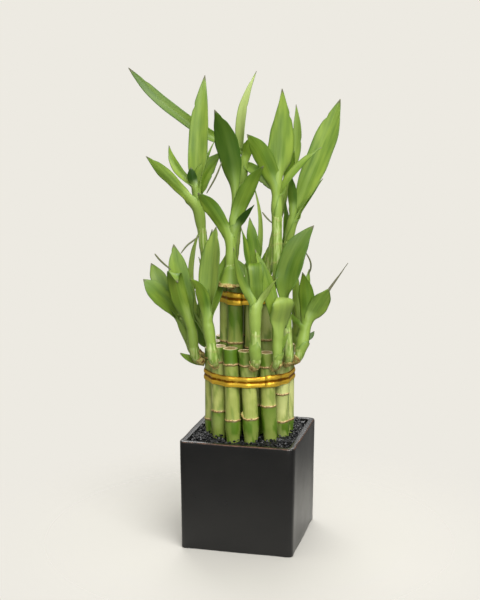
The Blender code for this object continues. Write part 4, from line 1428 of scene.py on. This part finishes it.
def leaf_nodes(node):
    grain = node("Attribute", attribute_name="grain")
    marks = node("SeparateColor", {"Color": node("Attribute", attribute_name="marks")}).outputs
    tone = node("Attribute", attribute_name="tone").outputs["Fac"]
    veined = node("Mapping", {"Vector": grain.outputs["Vector"],
                              "Scale": (1 / VEIN, 1 / VEIN_RUN, 1.0)})
    veins = node("TexNoise", {"Vector": veined, "Scale": 1.0, "Detail": 2.0, "Roughness": 0.6})
    patched = node("Mapping", {"Vector": grain.outputs["Vector"],
                               "Scale": (1 / PATCH, 1 / PATCH_RUN, 1.0)})
    patches = node("TexNoise", {"Vector": patched, "Scale": 1.0, "Detail": 2.0})
    green = node("ValToRGB", {"Fac": patches}, stops=[(0.30, "456E10"), (0.48, "68891F"),
                                                      (0.68, "92AC38")])
    lined = node("MapRange", {"Value": veins, "From Min": 0.35, "From Max": 0.65, "To Min": 0.0,
                              "To Max": 0.42})
    # the tone paints shade towards dark green and light towards pale green, over the leaf's own
    # green
    dark = node("Math", {0: tone, 1: -1.0}, operation="MULTIPLY", use_clamp=True)
    light = node("Math", {0: tone, 1: 0.9}, operation="MULTIPLY", use_clamp=True)
    paled = node("Math", {0: marks["Green"], 1: 0.95}, operation="MULTIPLY")
    rim = node("MapRange", {"Value": marks["Blue"], "From Min": 0.80, "From Max": 1.0,
                            "To Max": 0.5})
    colour = green
    for factor, coat in ((lined, "93AE47"), (dark, "2C4F0A"), (light, "BAC77C"),
                         (paled, "87A046"), (rim, "426822"), (marks["Red"], "74705A")):
        colour = node("Mix", {"Factor": factor, "A": colour, "B": coat}, data_type="RGBA")
    glow = node("Mix", {"Factor": 0.5, "A": colour, "B": "A2C433"}, data_type="RGBA")
    bump = node("Bump", {"Height": veins, "Strength": 0.22, "Distance": 0.12 * MM})
    satin = node("BsdfPrincipled", {"Base Color": colour, "Roughness": 0.45, "IOR": 1.45,
                                    "Normal": bump})
    through = node("BsdfTranslucent", {"Color": glow})
    thin = node("MapRange", {"Value": marks["Green"], "From Max": 0.8, "To Min": 0.35,
                             "To Max": 0.06})
    return node("MixShader", {0: thin, 1: satin, 2: through})


leaf_skin = make_material("fresh Dracaena leaf, satin living skin", leaf_nodes)
print("leaf skin made")

# %% [markdown]
# ## Shoot skin
#
# The wrapped leaf bases of a shoot are smooth and satin, a paler green than the blades, with long
# white streaks. The ring where each base ends is tan, and towards its heel a shoot is a deeper
# mottled green and then brown, where it broke out of its cane. The index is that of leaf skin.

# %% Shoot skin, stems and foliage
def stem_nodes(node):
    place = node("TexCoord").outputs["Object"]
    marks = node("SeparateColor", {"Color": node("Attribute", attribute_name="marks")}).outputs
    stretched = node("Mapping", {"Vector": place, "Scale": (every(1.2), every(1.2), every(30))})
    streak = node("TexNoise", {"Vector": stretched, "Scale": 1.0, "Detail": 2.0, "Roughness": 0.6})
    green = node("ValToRGB", {"Fac": streak}, stops=[(0.30, "5C7A26"), (0.48, "80993F"),
                                                     (0.68, "AFBF7C")])
    mottle = node("TexNoise", {"Vector": place, "Scale": every(2.6), "Detail": 3.0})
    near_heel = node("Math", {0: marks["Green"], 1: mottle}, operation="MULTIPLY")
    colour = green
    for factor, coat in ((marks["Red"], "BAA572"), (near_heel, "46500F"),
                         (marks["Blue"], "9A7648")):
        colour = node("Mix", {"Factor": factor, "A": colour, "B": coat}, data_type="RGBA")
    bump = node("Bump", {"Height": streak, "Strength": 0.25, "Distance": 0.1 * MM})
    return node("BsdfPrincipled", {"Base Color": colour, "Roughness": 0.42, "IOR": 1.45,
                                   "Normal": bump})


LEAF_THICK = 0.42
stem_skin = make_material("pale green shoot, smooth living skin", stem_nodes)
grow_dice = random.Random(41)
for shoot in SHOOTS:
    add_piece("shoot_" + shoot.name, make_stem(shoot, grow_dice), stem_skin,
              ["stem_" + shoot.name])
    add_piece("foliage_" + shoot.name, make_foliage(shoot, grow_dice), leaf_skin,
              ["leaves_" + shoot.name], wall=LEAF_THICK)
print("stems and foliage:", len(SHOOTS))

# %% [markdown]
# ## The side bud
#
# One pointed bud grows straight from the leftmost cane. It is a leaf that has not opened: the same
# grid, folded almost shut.

# %% Side bud
BUD_CANE, BUD_HEIGHT, BUD_OUT = "outer_01", 141.4, -177.0
BUD_LEAF = Leaf(0, -170, 12, 21, 6, -24, 10, 50)
BUD_ROWS = 18
BUD_HALF = (5.8, 0.5)           # half its width at its foot and tip, measured round the fold
BUD_ROUND = (3.1, 5.0)          # and the fold's radius there
BUD_SET_IN = 1.6                # how far its foot lies towards its back
BUD_TONE = -0.1


def make_bud(rng):
    bm = new_bmesh()
    line = [cane_centre(BUD_CANE, BUD_HEIGHT) + direction(BUD_OUT, 0) * (CANE_RADIUS + 0.3)]
    stride = BUD_LEAF.length / BUD_ROWS
    for k in range(BUD_ROWS):
        line.append(line[-1] + blade_face(BUD_LEAF, (k + 0.5) / BUD_ROWS)[0] * stride)
    seed = rng.uniform(0, 60)

    def place(u, w):
        row = round(w * BUD_ROWS)
        share = row / BUD_ROWS
        tangent = tangent_at(line, row)
        side = square_to(blade_face(BUD_LEAF, share)[1], tangent)
        inner = side.cross(tangent)
        s = u * mix(*BUD_HALF, share ** 1.5)
        x, y = bent(s, 1 / mix(*BUD_ROUND, share))
        return (line[row] + side * x + inner * (y - BUD_SET_IN * (1 - share)),
                (smooth_step((share - 0.93) / 0.05), 1 - share, abs(u), 1),
                (s, row * 1.3, seed), BUD_TONE)

    lay_grid(bm, 10, BUD_ROWS, place)
    return bm


add_piece("side_bud", make_bud(grow_dice), leaf_skin, ["bud"], wall=LEAF_THICK)
print("side bud made")

# %% [markdown]
# ## Dry scales
#
# Where a shoot breaks out of its cane it tears the old leaf base, and papery scraps, half green
# and half tan, stay round its heel. Each is a short cuff with a ragged top that doesn't quite meet
# round the back, and a lower shoot has two. Three canes also carry a bud that never grew: a small
# pointed scale pressed against the skin over the lowest joint.

# %% Dry scales
SCALE_THICK = 0.25
SCALE_LOWS = [(0.6, 1.4), (2.5, 4.0)]   # where a first and a second scale start above the heel
SCALE_TALLS = [(3.5, 6.0), (5.0, 9.0)]  # and their heights
SCALE_SPAN = (4.2, 6.0)         # how much of a turn they go round, in radians
SCALE_OUT = (0.32, 0.7)         # how far they stand off the stem at the foot, and more at the top
SCALE_LEAST = 2.3               # least radius of the stem under them
# cane, joint height and heading
BUD_SPOTS = [("outer_04", 105, -165), ("outer_09", 102, 80), ("outer_12", 112, 170)]
SCALE_HALF, SCALE_TALL, SCALE_BULGE = 3.0, 5.6, 1.9     # of a dormant bud


def add_cuff(bm, centre_at, radius_at, height, span, turn, rng, teeth=0.35):
    """A ragged cuff. centre_at and radius_at give its middle and radius at a share of its height.

    Teeth is how deep its top is torn, as a share of the height.
    """
    seed = rng.uniform(0, 60)

    def place(u, w):
        tall = 1 - teeth * (0.5 + 0.9 * stray(u * 2.6, seed)) - 0.25 * u * u
        share = w * max(0.25, tall)
        centre, first, second = centre_at(share)
        radius = radius_at(share) + 0.12 * stray(u * 4, w * 2, seed)
        return (centre + swung(first, second, turn + span / 2 * u) * radius, (w, 0, abs(u), 1),
                (u * 10, share * height, seed), 0.0)

    lay_grid(bm, 18, 6, place)


def cuff_on_stem(bm, shoot, low, height, rng):
    """A cuff round a stem, from a length above its heel."""
    line = stem_line(shoot)
    frames = frames_along(line)
    reach = lengths_along(line)

    def centre_at(share):
        along = low + height * share
        row = max(k for k in range(len(line)) if reach[k] <= along)
        part = (along - reach[row]) / (reach[row + 1] - reach[row])
        return line[row].lerp(line[row + 1], part), frames[row][1], frames[row][2]

    def radius_at(share):
        stem = max(SCALE_LEAST, stem_radius(shoot, low + height * share))
        return stem + SCALE_OUT[0] + SCALE_OUT[1] * share ** 2

    add_cuff(bm, centre_at, radius_at, height, rng.uniform(*SCALE_SPAN), rng.uniform(0, 6.3), rng)


def add_dormant_bud(bm, tag, node, heading, rng):
    out = direction(heading, 0)
    side = Vector((0, 0, 1)).cross(out)
    foot = cane_centre(tag, node - 0.4) + out * (CANE_RADIUS - 0.3)
    seed = rng.uniform(0, 60)

    def place(u, w):
        across = SCALE_HALF * (1 - w ** 1.6) * u
        bulge = SCALE_BULGE * math.sin(math.pi * min(1.0, w * 0.85 + 0.1)) * (1 - u * u)
        point = foot + side * across + Vector((0, 0, SCALE_TALL * w))
        return (point + out * (bulge - 0.1 * abs(across)), (w, 0, abs(u), 1),
                (u * 3, w * 5, seed), 0.6)

    lay_grid(bm, 8, 10, place)


scale_dice = random.Random(5)
cuffs, buds = new_bmesh(), new_bmesh()
for shoot in SHOOTS:
    for k in range(1 + ("lower" in shoot.name)):
        cuff_on_stem(cuffs, shoot, scale_dice.uniform(*SCALE_LOWS[k]),
                     scale_dice.uniform(*SCALE_TALLS[k]), scale_dice)
for tag, node, heading in BUD_SPOTS:
    add_dormant_bud(buds, tag, node, heading, scale_dice)
print("faces in the heel scales:", len(cuffs.faces), "and in the dormant buds:", len(buds.faces))

# %% [markdown]
# ## Dry paper
#
# A leaf base that has dried on the plant is a ribbed paper, dull and blotched where it is still
# green. The ribs are its dead veins, about 0.6 mm apart. Its index is that of leaf skin.

# %% Dry paper
def paper_nodes(node):
    place = node("TexCoord").outputs["Object"]
    blotch = node("TexNoise", {"Vector": place, "Scale": every(2.2), "Detail": 4.0,
                               "Roughness": 0.6})
    colour = node("ValToRGB", {"Fac": blotch}, stops=[(0.36, "6A4C24"), (0.45, "9A8044"),
                                                      (0.54, "BCA86A"), (0.64, "96A654")])
    ribs = node("Mapping", {"Vector": place, "Scale": (every(0.6), every(0.6), every(9))})
    rib = node("TexNoise", {"Vector": ribs, "Scale": 1.0, "Detail": 2.0})
    bump = node("Bump", {"Height": rib, "Strength": 0.6, "Distance": 0.2 * MM})
    return node("BsdfPrincipled", {"Base Color": colour, "Roughness": 0.75, "IOR": 1.45,
                                   "Normal": bump})


dry_paper = make_material("dry Dracaena leaf base, papery", paper_nodes)
add_piece("heel_scales", cuffs, dry_paper, wall=SCALE_THICK)
add_piece("dormant_buds", buds, dry_paper, wall=SCALE_THICK)
print("heel scales and dormant buds made")

# %% [markdown]
# ## The broad cuff
#
# The front shoot of the inner tier still wears a wide green leaf base, which leans out over the
# cane's top and closes round the shoot. Its foot has withered to a torn papery rim, so it is two
# pieces: the green cuff, dry along its lower edge, and the rim just outside that edge.

# %% Broad cuff
CUFF_SPAN, CUFF_TURN = 5.8, math.radians(-60)
CUFF_TALL = 22.0
CUFF_FOOT, CUFF_OUT = -98, 12.0         # heading and distance of its foot's middle from the cane
CUFF_RADIUS = 9.0
CUFF_TEETH, RIM_TEETH = 0.1, 0.75
CUFF_TOP = 13                   # the point of the shoot's path where it closes
RIM_TALL = 5.5
RIM_PROUD = 0.4


def cuff_place(part, proud):
    """Where the broad cuff lies: its middle and radius, over a part of its height from the foot."""
    shoot = next(s for s in SHOOTS if s.name == "upper_2")
    top = shoot_path(shoot)[CUFF_TOP]
    low = cane_centre(shoot.cane, shoot.height + 1.5) + direction(CUFF_FOOT, 0) * CUFF_OUT

    def centre_at(share):
        return low.lerp(top, share * part), Vector((1, 0, 0)), Vector((0, 1, 0))

    def radius_at(share):
        return mix(CUFF_RADIUS, shoot.top_r + 0.5, (share * part) ** 0.7) + proud

    return centre_at, radius_at


def broad_cuff():
    bm = new_bmesh()
    add_cuff(bm, *cuff_place(1.0, 0.0), CUFF_TALL, CUFF_SPAN, CUFF_TURN, random.Random(3),
             CUFF_TEETH)
    marks, tone = bm.verts.layers.float_color["marks"], bm.verts.layers.float["tone"]
    for vert in bm.verts:
        up, across = vert[marks][0], vert[marks][2]
        dry = 1 - smooth_step((up - 0.06) / 0.10)
        vert[marks] = (dry, 0.5, across * 0.9, 1)
        vert[tone] = -0.4 * bell(across, 0.3)
    return bm


def cuff_rim():
    bm = new_bmesh()
    add_cuff(bm, *cuff_place(RIM_TALL / CUFF_TALL, RIM_PROUD), RIM_TALL, CUFF_SPAN, CUFF_TURN,
             random.Random(8), RIM_TEETH)
    return bm


add_piece("broad_cuff", broad_cuff(), leaf_skin, wall=LEAF_THICK)
add_piece("broad_cuff_rim", cuff_rim(), dry_paper, wall=SCALE_THICK)
print("broad cuff:", CUFF_TALL, "mm tall, with a rim of", RIM_TALL, "mm")

# %% [markdown]
# ## Dry strands
#
# An old leaf edge tears away as a thread and dries. Five hang between the shoots. Each is a six
# sided tube along a smoothed route, thin at both ends.

# %% Dry strands
STRAND_R = 0.75
STRAND_SIDES = 6
STRAND_SMOOTH = 3               # times that each corner of a route is cut off
STRAND_DRY = 0.85
# points of each route
STRAND_ROUTES = [
    [(-15, -27, 301), (-19, -28, 290), (-27, -27, 277)],
    [(12, -9, 262), (16, -10.5, 257.5), (20, -10, 254)],
    [(-32.5, -28, 245), (-37, -30, 241), (-41, -32.5, 238), (-45, -35.5, 232)],
    [(-62, -47.5, 233), (-58, -45, 227), (-51, -41, 220)],
    [(44.5, -1.5, 231), (48, -0.5, 225), (48.5, 1.5, 219), (46, 3, 213)],
]


def add_strand(bm, route):
    line = [Vector(p) for p in route]
    for _ in range(STRAND_SMOOTH):
        line = [line[0]] + [q for a, b in zip(line, line[1:])
                            for q in (a.lerp(b, 0.25), a.lerp(b, 0.75))] + [line[-1]]
    frames = frames_along(line)

    def place(u, w):
        row = round(w * (len(line) - 1))
        _, first, second = frames[row]
        radius = STRAND_R * math.sqrt(max(0.0, math.sin(math.pi * w)))
        point = line[row] + swung(first, second, math.pi * u) * radius
        return point, (STRAND_DRY, 0, 0, 1), (u, w * 10, 0), 0.0

    lay_grid(bm, STRAND_SIDES, len(line) - 1, place)


strands = new_bmesh()
for route in STRAND_ROUTES:
    add_strand(strands, route)
seal(strands)
add_piece("dry_strands", strands, leaf_skin)
print("dry strands:", len(STRAND_ROUTES))
